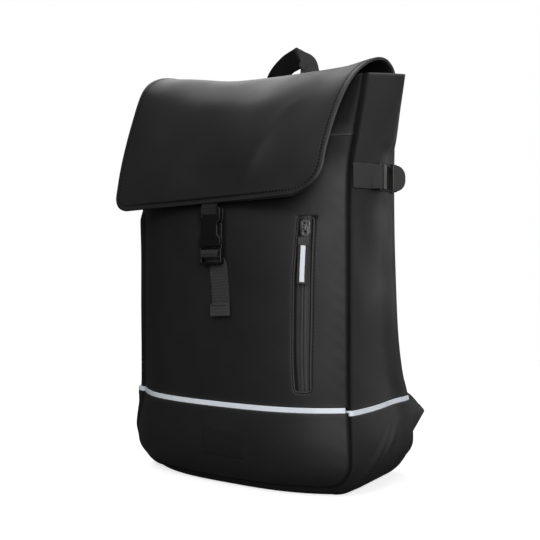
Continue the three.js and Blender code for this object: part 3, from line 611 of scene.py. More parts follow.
# Painted highlight along the sides' top hem: the edge band rises to full over this height below it.
HEM_HIGHLIGHT_TALL = 3.0
WRAP = {"deep": 7.0, "out": 4.4, "start": 35.0}
HANDS = {"right": 1, "left": -1}
SIDE_DROP = {"right": 3.4, "left": 1.0}
LEFT_ROLL = {"out": 8.5, "reach": 2.6, "low": 22.0, "full": 48.0, "fade": 0.25, "end": 0.8}
LEFT_FOOT = {"out": 4.0, "tall": 10.0}
BASE_PUFF = 11.5
BASE_POWER = 12
PERCENT = 100.0
BASE_LINES = 80
CORNER_LINES = 26
SIDE_WAVES = {"high": 0.8, "shortest": 55, "longest": 150, "seed": 11, "apart": 400.0, "edge": 14.0}
FOLD_ENDS = {"before": -8.0, "in": 12.0, "fade": 0.55, "end": 1.1}
FOLDS = table(
    "y_from z_from y_to z_to high wide",
    (-66, 8, 10, 62, 2.2, 3.4),
    (-56, 6, 24, 60, 1.8, 3.2),
    (-40, 4, 40, 70, 1.4, 4.5),
)
DENTS = table(
    "y z deep long tall",
    (8, 222, 2.0, 20, 26),
    (-14, 346, 3.0, 22, 12),
    (-10, 292, 1.6, 26, 14),
    (-30, 150, 1.5, 24, 40),
)


def side_relief(y, z, hand):
    """Uneven side: ridges along short slanting lines, each a bell curve across its line that dies out
    past its ends, less bell-shaped dents, plus soft waves."""
    relief = waves(y + SIDE_WAVES["apart"] * hand, z, SIDE_WAVES)
    for fold in FOLDS:
        run = np.array([fold["y_to"] - fold["y_from"], fold["z_to"] - fold["z_from"]])
        far = np.linalg.norm(run)
        over = ((y - fold["y_from"]) * run[0] + (z - fold["z_from"]) * run[1]) / far
        off = ((z - fold["z_from"]) * run[0] - (y - fold["y_from"]) * run[1]) / far
        reach = ease(over, FOLD_ENDS["before"], FOLD_ENDS["in"])
        reach *= 1 - ease(over, far * FOLD_ENDS["fade"], far * FOLD_ENDS["end"])
        relief += fold["high"] * reach * bell(off, fold["wide"])
    for dent in DENTS:
        relief -= dent["deep"] * bell(y - dent["y"], dent["long"]) * bell(z - dent["z"], dent["tall"])
    return relief


def side_flare(y, z):
    """How far the side stands out where it wraps the back pad's edge: a smooth step up to its own
    back edge."""
    back = along(BODY, "back", z)
    return WRAP["out"] * ease(y, back - WRAP["start"], back + WRAP["deep"])


def left_roll(x, z, t, depth):
    """How far the left side rolls out past its own seam, which is drawn in with the front's: an
    exponential rise behind the seam that fades out towards the back, fullest at the top of the foot."""
    level = ease(z, LEFT_ROLL["low"], LEFT_ROLL["full"]) * (1 - ease(z, SET_IN["fade"], SET_IN["end"]))
    foot = LEFT_FOOT["out"] * bell(z - foot_top, LEFT_FOOT["tall"]) * (z < pocket_low - SIDE_DROP["left"])
    rise = 1 - np.exp(-t * depth / LEFT_ROLL["reach"])
    rise *= 1 - ease(t, LEFT_ROLL["fade"], LEFT_ROLL["end"])
    drawn = left_set_in(x, z)
    rolled = ((LEFT_ROLL["out"] + foot) * level + drawn) * rise
    return (x < 0) * (rolled - drawn * (1 - ease(t, 0, LEFT_ROLL["end"])))


def strip_point(x, z, nx, nz, t, proud=0.0):
    """Side and base strip at a place x, z of the seam outline, whose outward direction is nx, nz: t
    runs from the front seam to the back edge, and the strip puffs out between them, on the sides to
    a soft uneven ridge and under the base to a flat that lies on the floor. Both edges roll in."""
    front = front_y(np.clip(x / seam_half(z), -1, 1), z) + SEAM_BACK
    plain = along(BODY, "back", z) - front
    depth = plain + WRAP["deep"] * nx**2
    y = front + t * depth
    swell = np.abs(2 * np.minimum(t * depth / plain, 1) - 1)
    side = along(BODY, "puff", z) * (1 - swell ** along(BODY, "crease", z))
    base = BASE_PUFF * (1 - swell**BASE_POWER)
    out = side + (base - side) * nz**2 + (side_flare(y, z) + left_roll(x, z, t, depth)) * nx**2 + proud
    inner = np.minimum(t, 1 - t) * depth
    out += side_relief(y, z, np.sign(x)) * nx**2 * np.clip(inner / SIDE_WAVES["edge"], 0, 1)
    out -= roll_in(t * depth, SEAM_ROLL) + roll_in((1 - t) * depth, BACK_ROLL)
    return np.stack([x + nx * out, y, np.maximum(z + nz * out, 0)], -1)


def strip_cloth(name, x, z, nx, nz, thick=WALL, proud=0.0, to_stripe=None):
    """Closed cloth strip over stations of the outline, rolled in along the stripe by each station's
    distance from it, with its front edge turned in behind the front's seam."""
    ts = grid_lines(0, PERCENT, CELL) / PERCENT
    x, z, nx, nz = (np.repeat(np.asarray(value, float)[:, None], len(ts), 1) for value in (x, z, nx, nz))
    grid = strip_point(x, z, nx, nz, ts[None, :], proud)
    towards = np.stack([nx, 0 * nx, nz], -1)
    if to_stripe is not None:
        grid -= towards * roll_in(to_stripe, STRIPE_ROLL)[:, None, None]
    depth = along(BODY, "back", z) - front_y(np.clip(x / seam_half(z), -1, 1), z)
    # Painted seam shadow along the front edge, wider towards the top.
    wider = 1 + SEAM_SHADOW["wider"] * ease(z, SEAM_SHADOW["from"], SEAM_SHADOW["to"])
    shade = 1 - ease(ts * depth, SEAM_SHADOW["full"] * wider, SEAM_SHADOW["end"] * wider)
    # Edge band raised to full along the top hem, a painted highlight line there; elsewhere the usual edge
    # band.
    band_strength = EDGE_BAND_STRENGTH + (1 - EDGE_BAND_STRENGTH) * ease(z, HEM - HEM_HIGHLIGHT_TALL, HEM)
    turned_in = grid[:, :1] - towards[:, :1] * FLANGE["in"] + BACK * FLANGE["back"]
    grid = np.concatenate([turned_in, grid], 1)
    shade, band_strength, towards = (np.concatenate([value[:, :1], value], 1) for value in (shade, band_strength, towards))
    return grid_cloth(name, grid, thick, towards, shade, band_strength)


def side_cloth(name, hand, z, **more):
    """Closed cloth strip on one side over a run of heights."""
    return strip_cloth(name, hand * seam_half(z), z, np.full(len(z), hand), np.zeros(len(z)), **more)


foot_half = {}
for side_name, hand in HANDS.items():
    side_top = foot_top - SIDE_DROP[side_name]
    side = grid_lines(BOTTOM_SEAM + CORNER, side_top, CELL, close=(side_top,))[::-1]
    turn = np.linspace(np.pi / 2, 0, CORNER_LINES)[1:]
    z = np.append(side, BOTTOM_SEAM + CORNER * (1 - np.cos(turn)))
    nx = np.append(np.ones(len(side)), np.sin(turn))
    nz = np.append(np.zeros(len(side)), -np.cos(turn))
    foot_half[side_name] = np.array([hand * seam_half(z), z, hand * nx, nz, side_top - z])
base_x = np.linspace(-1, 1, BASE_LINES)[1:-1] * seam_half(BOTTOM_SEAM)
flat = np.ones(len(base_x))
base = np.array([base_x, BOTTOM_SEAM * flat, 0 * flat, -flat, CORNER * flat])
x, z, nx, nz, to_stripe = np.concatenate([foot_half["left"], base, foot_half["right"][:, ::-1]], 1)
gusset_foot = strip_cloth("gusset_foot_cloth", x, z, nx, nz, to_stripe=to_stripe)
finish_piece(gusset_foot, black_coating, "coated_fabric", "gusset_foot")

for side_name, hand in HANDS.items():
    side_low = pocket_low - SIDE_DROP[side_name]
    z = grid_lines(side_low, HEM, CELL)
    gusset = side_cloth(f"gusset_{side_name}_cloth", hand, z, to_stripe=z - side_low)
    finish_piece(gusset, black_coating, "coated_fabric", f"gusset_{side_name}")

# Reflective stripes
# A narrow band of silver-white reflective tape sewn over the joint between foot and body, one length
# across the front and one along each side. Fine bead-like cells give it a soft even sheen.
TAPE = {"thick": 1.0, "proud": 0.3, "ends": 5, "cell": 0.9}
reflective, tree, shader = new_material("reflective_tape", (0.66, 0.71, 0.78), roughness=0.38)
tape_place = object_place(tree)
beads = add_node(tree, "ShaderNodeTexVoronoi", {"Vector": tape_place, "Scale": 1400.0})
smear = noise(tree, tape_place, scale=60.0, detail=4.0)
silver = blend_color(tree, smear, (0.65, 0.7, 0.77), (0.82, 0.86, 0.92))
join_looks(tree, shader, silver, beads.outputs["Distance"], depth=0.00006)
tape_zs = grid_lines(STRIPE["low"], STRIPE["high"], TAPE["cell"])
tape_face = front_panel(tape_zs)[TAPE["ends"]:-TAPE["ends"]]
tape_face[..., 1] -= TAPE["proud"]
stripe_front = grid_cloth("stripe_front_tape", tape_face, TAPE["thick"], FRONT)
finish_piece(stripe_front, reflective, "reflective_tape", "stripe_front")
for side_name, hand in HANDS.items():
    z = tape_zs - SIDE_DROP[side_name]
    stripe = side_cloth(f"stripe_{side_name}_tape", hand, z, thick=TAPE["thick"], proud=TAPE["proud"])
    finish_piece(stripe, reflective, "reflective_tape", f"stripe_{side_name}")

# Zip
# A coated zip sewn in behind the slot: two film-covered tapes over hidden teeth, a dark metal slider with a
# slit, a bridge and a ring, and a cloth pull on a grey tab, with a pale strip sewn down its middle.
SEAT = 0.7
SEAT_STEP = 1.0
# The film's dark span is painted shade under the welt's lips.
FILM = {"half": 11.0, "hidden": 5.0, "thick": 1.4, "lines": (89, 70), "dark": (4.8, 6.6)}
FILM_LIP = {"at": 1.5, "wide": 1.1, "high": 0.22}
FILM_SPLIT = {"wide": 0.35, "deep": 0.5}
SLIDER = {"z": 270.4, "half": 4.6, "tall": 7.0, "thick": 2.6, "edge": 0.5, "off": -0.3}
SLIDER_ROUND = (1.6, 1.6, 3.8, 3.8)
SLIT = (-2.1, -0.5, -3.0, 4.8, 0.6)
BRIDGE = {"outer": (-4.6, 3.4, -0.6, 2.4, (0.4, 0.4, 1.6, 1.6)), "inner": (-3.2, 1.4, -0.2, 1.2, 0.5)}
BRIDGE_BAR = {"thick": 2.2, "edge": 0.4, "off": 1.2}
RING = {"outer": (-3.1, 3.1, -6.2, 4.2, (1.6, 1.6, 2.7, 2.7)), "inner": (-1.7, 1.7, -4.0, 1.6, 1.2)}
RING_BAR = {"thick": 1.3, "edge": 0.35, "up": -3.4, "off": 3.0}
BEVEL_STEPS = 2
SHARP = 0.7
RIB = {"pitch": 3.2, "high": 0.4, "steps": 8, "sunk": 0.6, "edge": 1.2}
KNOT_STEPS = 60
WEB_POINTS = {"edge": 7, "face": 9}
# The shade colour is the near black of the painted shade on straps.
WEAVE = {"specular": 0.15, "sheen": 0.06, "shade": (0.0006, 0.0006, 0.0006)}
PULL = {"wide": 10.5, "low": 214.0, "high": 253.0, "thick": 2.2, "off": 2.7, "rib": 0.05}
PULL_TAB = {"wide": 11.2, "low": 252.2, "high": 260.4, "thick": 3.4, "off": 2.8, "rib": 0.05}
PULL_STRIP = {"wide": 4.8, "low": 216.0, "high": 253.4, "thick": 0.9, "off": 4.0, "rib": 0.02}
PULL_KNOTS = 5


def plain_front(x, z):
    """Depth of the front without its rolled edges and unevenness."""
    return front_y(x / seam_half(z), z)


film_xs = np.linspace(-FILM["half"], FILM["half"], FILM["lines"][0])
film_zs = np.linspace(ZIP["low"] - FILM["hidden"], ZIP["high"] + FILM["hidden"], FILM["lines"][1])
film_x, film_z = np.meshgrid(film_xs, film_zs, indexing="ij")
film_y = plain_front(ZIP["x"] + film_x, film_z) + WALL + SEAT
film_y -= FILM_LIP["high"] * bell(np.abs(film_x) - FILM_LIP["at"], FILM_LIP["wide"])
film_y += FILM_SPLIT["deep"] * bell(film_x, FILM_SPLIT["wide"])
film_grid = np.stack([ZIP["x"] + film_x + zip_lean(zip_across, film_z), film_y, film_z], -1)
# Painted shade along the film's edges, under the welt's lips.
film_shade = ease(np.abs(film_x) - along(ZIP_LEAN, "widen", film_z), *FILM["dark"])
zip_tape = grid_cloth("zip_film", film_grid, FILM["thick"], FRONT, film_shade)
film = coated_fabric(
    "zip_film",
    color=(0.024, 0.024, 0.0245), dusty=(0.032, 0.032, 0.0325), edge_color=(0.04, 0.04, 0.04), roughness=0.4,
    grain_scale=2400.0,
)
finish_piece(zip_tape, film, "zip_film", "zip_tape")


def rounded(x0, x1, y0, y1, radii, steps=6):
    """Rectangle with rounded corners: four quarter circles joined by straight sides, with radii from
    the corner x0, y0 anticlockwise."""
    x, y = np.array([x0, x1, x1, x0], float), np.array([y0, y0, y1, y1], float)
    inward_x, inward_y = np.array([1, -1, -1, 1]), np.array([1, 1, -1, -1])
    radius = np.broadcast_to(np.asarray(radii, float), 4)[:, None]
    angle = np.array([2, 3, 0, 1])[:, None] * np.pi / 2 + np.linspace(0, np.pi / 2, steps)
    corner_x = x[:, None] + radius * (inward_x[:, None] + np.cos(angle))
    corner_y = y[:, None] + radius * (inward_y[:, None] + np.sin(angle))
    return np.stack([corner_x, corner_y], -1).reshape(-1, 2)


def placed(along_way, across_way, out_way, at):
    """Matrix that lays a plate's own x, y and z along three directions at a point in mm."""
    matrix = np.eye(4)
    matrix[:3, :4] = np.column_stack([along_way, across_way, out_way, np.asarray(at, float) * MM])
    return Matrix(matrix.tolist())


def moulded(name, *plates):
    """Piece joined from plates. Each is a filled outline with holes, thickened evenly to both sides
    with a rounded edge: an outline grows by the edge and a hole shrinks by it, so both are given
    where the flat face ends."""
    joined = bmesh.new()
    for outlines, thick, edge, place in plates:
        curve = bpy.data.curves.new(name, "CURVE")
        curve.dimensions = "2D"
        curve.fill_mode = "BOTH"
        curve.extrude = (thick / 2 - edge) * MM
        curve.bevel_depth = edge * MM
        curve.bevel_resolution = BEVEL_STEPS
        for outline in outlines:
            spline = curve.splines.new("POLY")
            spline.points.add(len(outline) - 1)
            flat = np.column_stack([outline * MM, np.zeros(len(outline)), np.ones(len(outline))])
            spline.points.foreach_set("co", flat.ravel())
            spline.use_cyclic_u = True
        holder = bpy.data.objects.new(name, curve)
        bpy.context.scene.collection.objects.link(holder)
        graph = bpy.context.evaluated_depsgraph_get()
        mesh = bpy.data.meshes.new_from_object(holder.evaluated_get(graph))
        mesh.transform(place)
        joined.from_mesh(mesh)
        bpy.data.objects.remove(holder)
        bpy.data.curves.remove(curve)
        bpy.data.meshes.remove(mesh)
    bmesh.ops.remove_doubles(joined, verts=joined.verts, dist=1e-6)
    mesh = bpy.data.meshes.new(name)
    joined.to_mesh(mesh)
    joined.free()
    mesh.polygons.foreach_set("use_smooth", np.ones(len(mesh.polygons), bool))
    mesh.set_sharp_from_angle(angle=SHARP)
    made = bpy.data.objects.new(name, mesh)
    bpy.context.scene.collection.objects.link(made)
    made.modifiers.new("flat_faces", "WEIGHTED_NORMAL").keep_sharp = True
    return made


def pocket_seat(x, z):
    """Point of the plain front with its level direction, its upward direction and its outward one."""
    step = SEAT_STEP
    level = unit([2 * step, plain_front(x + step, z) - plain_front(x - step, z), 0])
    rise = unit([0, plain_front(x, z + step) - plain_front(x, z - step), 2 * step])
    out = unit(np.cross(level, rise))
    return np.array([x, plain_front(x, z), z]), level, np.cross(out, level), out


slide_x = ZIP["x"] + zip_lean(zip_across, SLIDER["z"])
slide_at, slide_level, slide_up, slide_out = pocket_seat(slide_x, SLIDER["z"])
slide_seat = placed(slide_level, slide_up, slide_out, slide_at + slide_out * SLIDER["off"])
bridge_seat = placed(slide_up, slide_out, slide_level, slide_at + slide_out * BRIDGE_BAR["off"])
ring_at = slide_at + slide_up * RING_BAR["up"] + slide_out * RING_BAR["off"]
ring_seat = placed(slide_level, slide_up, slide_out, ring_at)
slide_face = rounded(-SLIDER["half"], SLIDER["half"], -SLIDER["tall"], SLIDER["tall"], SLIDER_ROUND)
bridge_face, ring_face = ([rounded(*part[name]) for name in ("outer", "inner")] for part in (BRIDGE, RING))
zip_slider = moulded(
    "zip_slider_metal",
    ([slide_face, rounded(*SLIT)], SLIDER["thick"], SLIDER["edge"], slide_seat),
    (bridge_face, BRIDGE_BAR["thick"], BRIDGE_BAR["edge"], bridge_seat),
    (ring_face, RING_BAR["thick"], RING_BAR["edge"], ring_seat),
)
gunmetal, tree, shader = new_material("gunmetal", (0.2, 0.2, 0.205), roughness=0.25, metallic=1.0)
scuff = noise(tree, object_place(tree), scale=420.0, detail=4.0)
scuffed = blend_color(tree, scuff, (0.08, 0.08, 0.083), (0.15, 0.15, 0.155))
join_looks(tree, shader, scuffed, roughness=ramp(tree, scuff, first=0.24, last=0.34))
finish_piece(zip_slider, gunmetal, "gunmetal", "zip_slider")


def run_through(knots, apart):
    """Smooth line through knots, a cubic between each two, resampled at even steps; returns its points
    and where each lies among the knots."""
    knots = np.asarray(knots, float)
    leap = np.sqrt(np.linalg.norm(np.diff(knots, axis=0), axis=1))
    at = np.insert(np.cumsum(leap), 0, 0)
    fine = np.linspace(0, at[-1], KNOT_STEPS * len(knots))
    walked = walk(cubic(at, knots, fine))
    even = np.linspace(0, walked[-1], int(walked[-1] / apart) + 2)
    place = np.interp(even, walked, fine)
    return cubic(at, knots, place), np.interp(place, at, np.arange(len(knots)))


def webbing_run(name, knots, across, width, thick, rib=RIB["high"], dim=0.0):
    """Woven strap: a flat section with round edges carried along a line through knots, its width laid
    along the direction across, given once or for each knot. Both faces rise and fall as the sine of
    the length, in ribs that die out at the edges. UV is metres along and round the strap. The
    attribute dim, given for each knot, is 1 where the strap is darkened to near black; mostly that is painted
    shade, in its own fold, under the flap or in a lock's slot."""
    path, among = run_through(knots, RIB["pitch"] / RIB["steps"])
    steps = np.arange(len(knots))
    wide = read_off(among, steps, np.broadcast_to(across, (len(knots), 3)))
    tangent = unit(np.gradient(path, axis=0))
    wide = unit(wide - tangent * (wide * tangent).sum(-1, keepdims=True))
    up = np.cross(wide, tangent)
    angle = np.linspace(np.pi / 2, -np.pi / 2, WEB_POINTS["edge"])[1:-1]
    reach = width / 2 - thick / 2
    half_w = np.append(np.linspace(-reach, reach, WEB_POINTS["face"]), reach + thick / 2 * np.cos(angle))
    half_t = np.append(np.full(WEB_POINTS["face"], thick / 2), thick / 2 * np.sin(angle))
    w, t = np.append(half_w, -half_w), np.append(half_t, -half_t)
    walked = walk(path)
    ribs = rib * (np.abs(np.sin(np.pi * walked / RIB["pitch"])) - RIB["sunk"])
    raised = t + np.sign(t) * ribs[:, None] * np.clip((width / 2 - np.abs(w)) / RIB["edge"], 0, 1)
    points = path[:, None] + wide[:, None] * w[:, None] + up[:, None] * raised[..., None]
    ids = numbered(points)
    wrap = np.column_stack([ids, ids[:, 0]])
    cells = quads(numbered(wrap))[:, [0, 3, 2, 1]]
    faces = wrap.ravel()[cells].tolist() + [ids[-1].tolist(), ids[0, ::-1].tolist()]
    section = np.column_stack([w, t])
    round_run = walk(np.vstack([section, section[:1]]))
    pairs = np.stack(np.meshgrid(walked * MM, round_run * MM, indexing="ij"), -1)
    uv = np.concatenate([pairs.reshape(-1, 2)[cells.ravel()], pairs[-1, :-1], pairs[0, :-1][::-1]])
    dimmed = np.repeat(np.interp(among, steps, np.broadcast_to(dim, len(knots))), len(w))
    return build(name, points, faces, uv, dim=dimmed)


weave, weave_in, weave_out = new_group(
    "strap_weave",
    {"Place": "place", "Warp": "value", "Weft": "value"},
    {"Height": "value", "Fibre": "value"},
)
split = add_node(weave, "ShaderNodeSeparateXYZ", {0: weave_in["Place"]})
threads = []
for axis, label in (("X", "Weft"), ("Y", "Warp")):
    scaled = {0: split.outputs[axis], 1: weave_in[label]}
    count = add_node(weave, "ShaderNodeMath", scaled, operation="MULTIPLY")
    threads.append(add_node(weave, "ShaderNodeMath", {0: count.outputs[0]}, operation="SINE").outputs[0])
crossed = add_node(weave, "ShaderNodeMath", {0: threads[0], 1: threads[1]}, operation="MULTIPLY")
weave.links.new(crossed.outputs[0], weave_out["Height"])
weave.links.new(noise(weave, weave_in["Place"], scale=900.0, detail=3.0), weave_out["Fibre"])


def woven(name, color, pale, roughness=0.62, warp=9000.0, weft=7000.0, depth=0.00012):
    """Woven nylon: crossing threads as bump on the strap's own length and width, and fibres that shift
    its colour between two tones, darkened towards near black by the dim attribute, mostly painted shade."""
    material, tree, shader = new_material(name, color, roughness, WEAVE["specular"])
    place = add_node(tree, "ShaderNodeUVMap", uv_map="UVMap").outputs["UV"]
    counts = {"Place": place, "Warp": warp, "Weft": weft}
    knit = add_node(tree, "ShaderNodeGroup", counts, node_tree=weave).outputs
    tone = blend_color(tree, knit["Fibre"], color, pale)
    # Painted shade: the strap mixed towards near black by its dim attribute.
    dimmed = blend_color(tree, point_value(tree, "dim"), tone, WEAVE["shade"])
    join_looks(tree, shader, dimmed, knit["Height"], depth)
    shader.inputs["Sheen Weight"].default_value = WEAVE["sheen"]
    return material


def hanging(name, size):
    """Flat length of cloth that hangs straight down in front of the slot, off its face."""
    heights = np.linspace(size["high"], size["low"], PULL_KNOTS)
    hung_x = ZIP["x"] + zip_lean(zip_across, heights)
    knots = np.stack([hung_x, np.full(PULL_KNOTS, pull_foot[1]), heights], -1) + slide_out * size["off"]
    return webbing_run(name, knots, slide_level, size["wide"], size["thick"], size["rib"])


webbing_black = woven("black_webbing", (0.035, 0.035, 0.0355), (0.053, 0.053, 0.054))
tab_grey = woven("grey_tab", (0.055, 0.055, 0.057), (0.08, 0.08, 0.083))
pale_strip = woven("pale_strip", (0.7, 0.73, 0.77), (0.84, 0.87, 0.9), roughness=0.4, depth=0.00004)
pull_foot = pocket_seat(ZIP["x"], (PULL["low"] + SLIDER["z"]) / 2)[0]
finish_piece(hanging("zip_pull_cloth", PULL), webbing_black, "webbing", "zip_pull")
finish_piece(hanging("zip_pull_tab", PULL_TAB), tab_grey, "webbing")
finish_piece(hanging("zip_pull_strip_cloth", PULL_STRIP), pale_strip, "reflective_tape", "zip_pull_strip")

# Label patch
# A small flat patch of smooth rubber glued to the foot, left bare, with rounded edges and a shallow
# groove pressed in just inside its border.
LABEL = {"x": 11.0, "z": 49.0, "wide": 50.0, "tall": 27.0, "thick": 1.0, "proud": 0.55, "cell": 1.0}
LABEL_GROOVE = {"in": 1.8, "deep": 0.12, "wide": 0.4}
label_xs = LABEL["x"] + grid_lines(-LABEL["wide"] / 2, LABEL["wide"] / 2, LABEL["cell"])
label_zs = LABEL["z"] + grid_lines(-LABEL["tall"] / 2, LABEL["tall"] / 2, LABEL["cell"])
label_face = front_point(*np.meshgrid(label_xs, label_zs, indexing="ij"))
label_face[..., 1] -= LABEL["proud"]
label_in = border_run(label_face) - LABEL_GROOVE["in"]
label_face[..., 1] += LABEL_GROOVE["deep"] * bell(label_in, LABEL_GROOVE["wide"])
label_patch = grid_cloth("label_patch_rubber", label_face, LABEL["thick"], FRONT)
# Its edge colour is darker than its face, so its edges are painted darker.
smooth_rubber = coated_fabric(
    "smooth_rubber",
    color=(0.009, 0.009, 0.0095), dusty=(0.012, 0.012, 0.0125), edge_color=(0.004, 0.004, 0.004), roughness=0.46,
    grain_scale=3000.0, depth=0.00002,
)
finish_piece(label_patch, smooth_rubber, "coated_fabric", "label_patch")

# Side straps
# A length of ribbed webbing on each side, sewn into the front seam and threaded through a moulded
# ladder lock with a thumb tab; a short second length ties the lock to the back edge.
WEB = 25.0
WEB_THICK = 1.6
SIDE_STRAP = {"height": 322.0, "lock_share": 0.5, "lock_turn": 0.22, "lock_rise": 1.4, "lock_way": 0.04}
STRAP_SHARES = np.array([0.012, 0.07, 0.13, 0.19, 0.25])
LOOP_SHARES = np.array([0.66, 0.72, 0.8, 0.88, 0.94, 0.985])
HOOK = table(
    "along out",
    (-20, 0.6),
    (-17, 3.4),
    (-14.6, 4.7),
    (-12.9, 3.9),
    (-12, 1.8),
    (-11, -0.6),
    (-8, -1.1),
    (-2, -1.3),
    (3, -2.2),
    (8, -2.4),
)
LOCK = {"half": 15.0, "side": 1.6, "corner": 2.6, "thick": 3.6, "edge": 0.8, "play": 0.4, "slot_round": 0.6}
LOCK_SLOTS = ((-13.0, -11.0), (-4.0, 6.5))
LOCK_BAR = {"from": -11.0, "to": -4.0, "thick": 4.6, "edge": 0.9, "lift": 0.4, "tip": -0.22}
BAR_END = {"in": 1.0, "round": 0.3}
THUMB = {"long": 13.0, "side": 0.9, "thick": 2.6, "edge": 0.8, "tip": 0.4, "from": 8.0, "rise": 1.2}
THUMB_ROUND = (0.5, 10.5, 10.5, 0.5)
PLASTIC = {"roughness": 0.34, "shine": (0.3, 0.42), "pits": 2600.0, "depth": 0.00003}


def moulded_plastic(name, color, pale, specular):
    """Moulded nylon: faint pits as bump, and clouds that shift its colour and its shine."""
    material, tree, shader = new_material(name, color, PLASTIC["roughness"], specular)
    spots = {"Place": object_place(tree), "Scale": PLASTIC["pits"]}
    pits = add_node(tree, "ShaderNodeGroup", spots, node_tree=grain).outputs
    shine = ramp(tree, pits["Cloud"], *PLASTIC["shine"])
    tone = blend_color(tree, pits["Cloud"], color, pale)
    join_looks(tree, shader, tone, pits["Height"], PLASTIC["depth"], shine)
    return material


# A lit copy of the buckle's black plastic: painted lighter and warmer for the light the locks catch.
lit_lock_plastic = moulded_plastic("lit_lock_plastic", (0.013, 0.0125, 0.012), (0.022, 0.021, 0.02), specular=0.5)


def ladder_lock(name, along_way, out_way, seat, *nodes):
    """Ladder lock at a seat on its strap: a plate with two slots, a thick round bar between them and a
    D-shaped thumb tab tipped outwards."""
    across_way = np.cross(out_way, along_way)
    edge, wide = LOCK["edge"], WEB / 2 + LOCK["side"]
    open_half = WEB / 2 + LOCK["play"] + edge
    flat = LOCK["half"] - edge
    body = [rounded(-flat, flat, edge - wide, wide - edge, LOCK["corner"])]
    for start, end in LOCK_SLOTS:
        body.append(rounded(start - edge, end + edge, -open_half, open_half, LOCK["slot_round"]))
    middle = placed(along_way, across_way, out_way, seat + out_way * LOCK["thick"] / 2)
    rim = LOCK_BAR["edge"]
    bar_half = wide - rim - BAR_END["in"]
    bar = [rounded(LOCK_BAR["from"] + rim, LOCK_BAR["to"] - rim, -bar_half, bar_half, BAR_END["round"])]
    bar_middle = (LOCK_BAR["from"] + LOCK_BAR["to"]) / 2
    bar_seat = seat + along_way * bar_middle + out_way * (LOCK["thick"] / 2 + LOCK_BAR["lift"])
    bar_along, tip_along = (
        along_way * np.cos(plate["tip"]) + out_way * np.sin(plate["tip"]) for plate in (LOCK_BAR, THUMB)
    )
    bar_out, tip_out = np.cross(bar_along, across_way), np.cross(tip_along, across_way)
    bar_place = placed(bar_along, across_way, bar_out, bar_seat - bar_along * bar_middle)
    thumb_half = WEB / 2 + THUMB["side"] - THUMB["edge"]
    thumb = [rounded(0, THUMB["long"], -thumb_half, thumb_half, THUMB_ROUND)]
    root = seat + along_way * THUMB["from"] + out_way * (THUMB["rise"] + THUMB["thick"] / 2)
    lock = moulded(
        name,
        (body, LOCK["thick"], edge, middle),
        (bar, LOCK_BAR["thick"], rim, bar_place),
        (thumb, THUMB["thick"], THUMB["edge"], placed(tip_along, across_way, tip_out, root)),
    )
    return finish_piece(lock, lit_lock_plastic, "moulded_plastic", *nodes)


def hook_line(hook, seat, way, out):
    """Knots of a strap hooked through a lock: distances along and out from the lock's seat."""
    return seat + hook["along"][:, None] * way + hook["out"][:, None] * out


def plain_side(t, z, hand, off=0.0):
    """Side strip without its rolled edges and unevenness, at a height, off its face."""
    t, z = np.asarray(t, float), np.asarray(z, float)
    front = along(BODY, "front", z) + WALL + GAP
    puff = along(BODY, "puff", z) * (1 - np.abs(2 * t - 1) ** along(BODY, "crease", z))
    y = front + t * (along(BODY, "back", z) - front)
    return np.stack(np.broadcast_arrays(hand * (seam_half(z) + puff + side_flare(y, z) + off), y, z), -1)


def side_rise(t, hand):
    """Direction up the plain side across the width of its strap."""
    top, foot = (plain_side(t, SIDE_STRAP["height"] + half, hand) for half in (WEB / 2, -WEB / 2))
    return unit(top - foot)


for side_name, hand in HANDS.items():
    height, share, step = (SIDE_STRAP[name] for name in ("height", "lock_share", "lock_way"))
    way = unit(plain_side(share + step, height, hand) - plain_side(share - step, height, hand))
    turned = way + RIGHT * hand * SIDE_STRAP["lock_turn"]
    turned = unit(turned - UP * (turned @ UP))
    out = np.cross(turned, UP) * hand
    seat = plain_side(share, height, hand) + out * (SEAT + GAP + WEB_THICK + SIDE_STRAP["lock_rise"])
    ladder_lock(f"ladder_lock_{side_name}_moulding", turned, out, seat, f"ladder_lock_{side_name}")
    off = SEAT + WEB_THICK / 2
    line = np.concatenate([plain_side(STRAP_SHARES, height, hand, off), hook_line(HOOK, seat, turned, out)])
    across = np.concatenate([side_rise(STRAP_SHARES, hand), np.tile(UP, (len(HOOK), 1))])
    # Painted shade on the strap where it runs under the lock and in its slot.
    dim = np.concatenate([0 * STRAP_SHARES, HOOK["out"] < 0])
    strap = webbing_run(f"side_strap_{side_name}_webbing", line, across, WEB, WEB_THICK, dim=dim)
    finish_piece(strap, webbing_black, "webbing", f"side_strap_{side_name}")
    line, across = plain_side(LOOP_SHARES, height, hand, off), side_rise(LOOP_SHARES, hand)
    loop = webbing_run(f"side_loop_{side_name}_webbing", line, across, WEB, WEB_THICK)
    finish_piece(loop, webbing_black, "webbing", f"side_loop_{side_name}")

# Back panel
# The padded back: foam between two layers of open-mesh fabric, sewn round its edge to the sides and
# the base, with two stitched channels down its length. Its filling presses both faces out.
BACK_PAD = 8.0
PAD = {"proud": 2.0, "cell_x": 4.0, "cell_z": 5.0, "swell": 1.2, "outer_from": -1.0, "outer_to": 3.0}
PILLOW = {"rise": 3.0, "power": 10, "start": 10.0, "full": 60.0, "fade": 311.0, "end": 361.0}
CHANNELS = {"x": 46.0, "deep": 2.6, "wide": 5.0, "low": 40.0, "high": 330.0, "ends": 20.0}
FILLING = {"voxel": 4.0, "pressure": 4.0, "smooth": 4, "frames": 20}


def back_face(u, z):
    """Outer face of the back pad: the sides' back edge plus the pad's thickness and a pillow that dies
    out at the edges and towards the top."""
    level = ease(z, PILLOW["start"], PILLOW["full"]) * (1 - ease(z, PILLOW["fade"], PILLOW["end"]))
    return along(BODY, "back", z) + GAP + BACK_PAD + PILLOW["rise"] * (1 - u ** PILLOW["power"]) * level


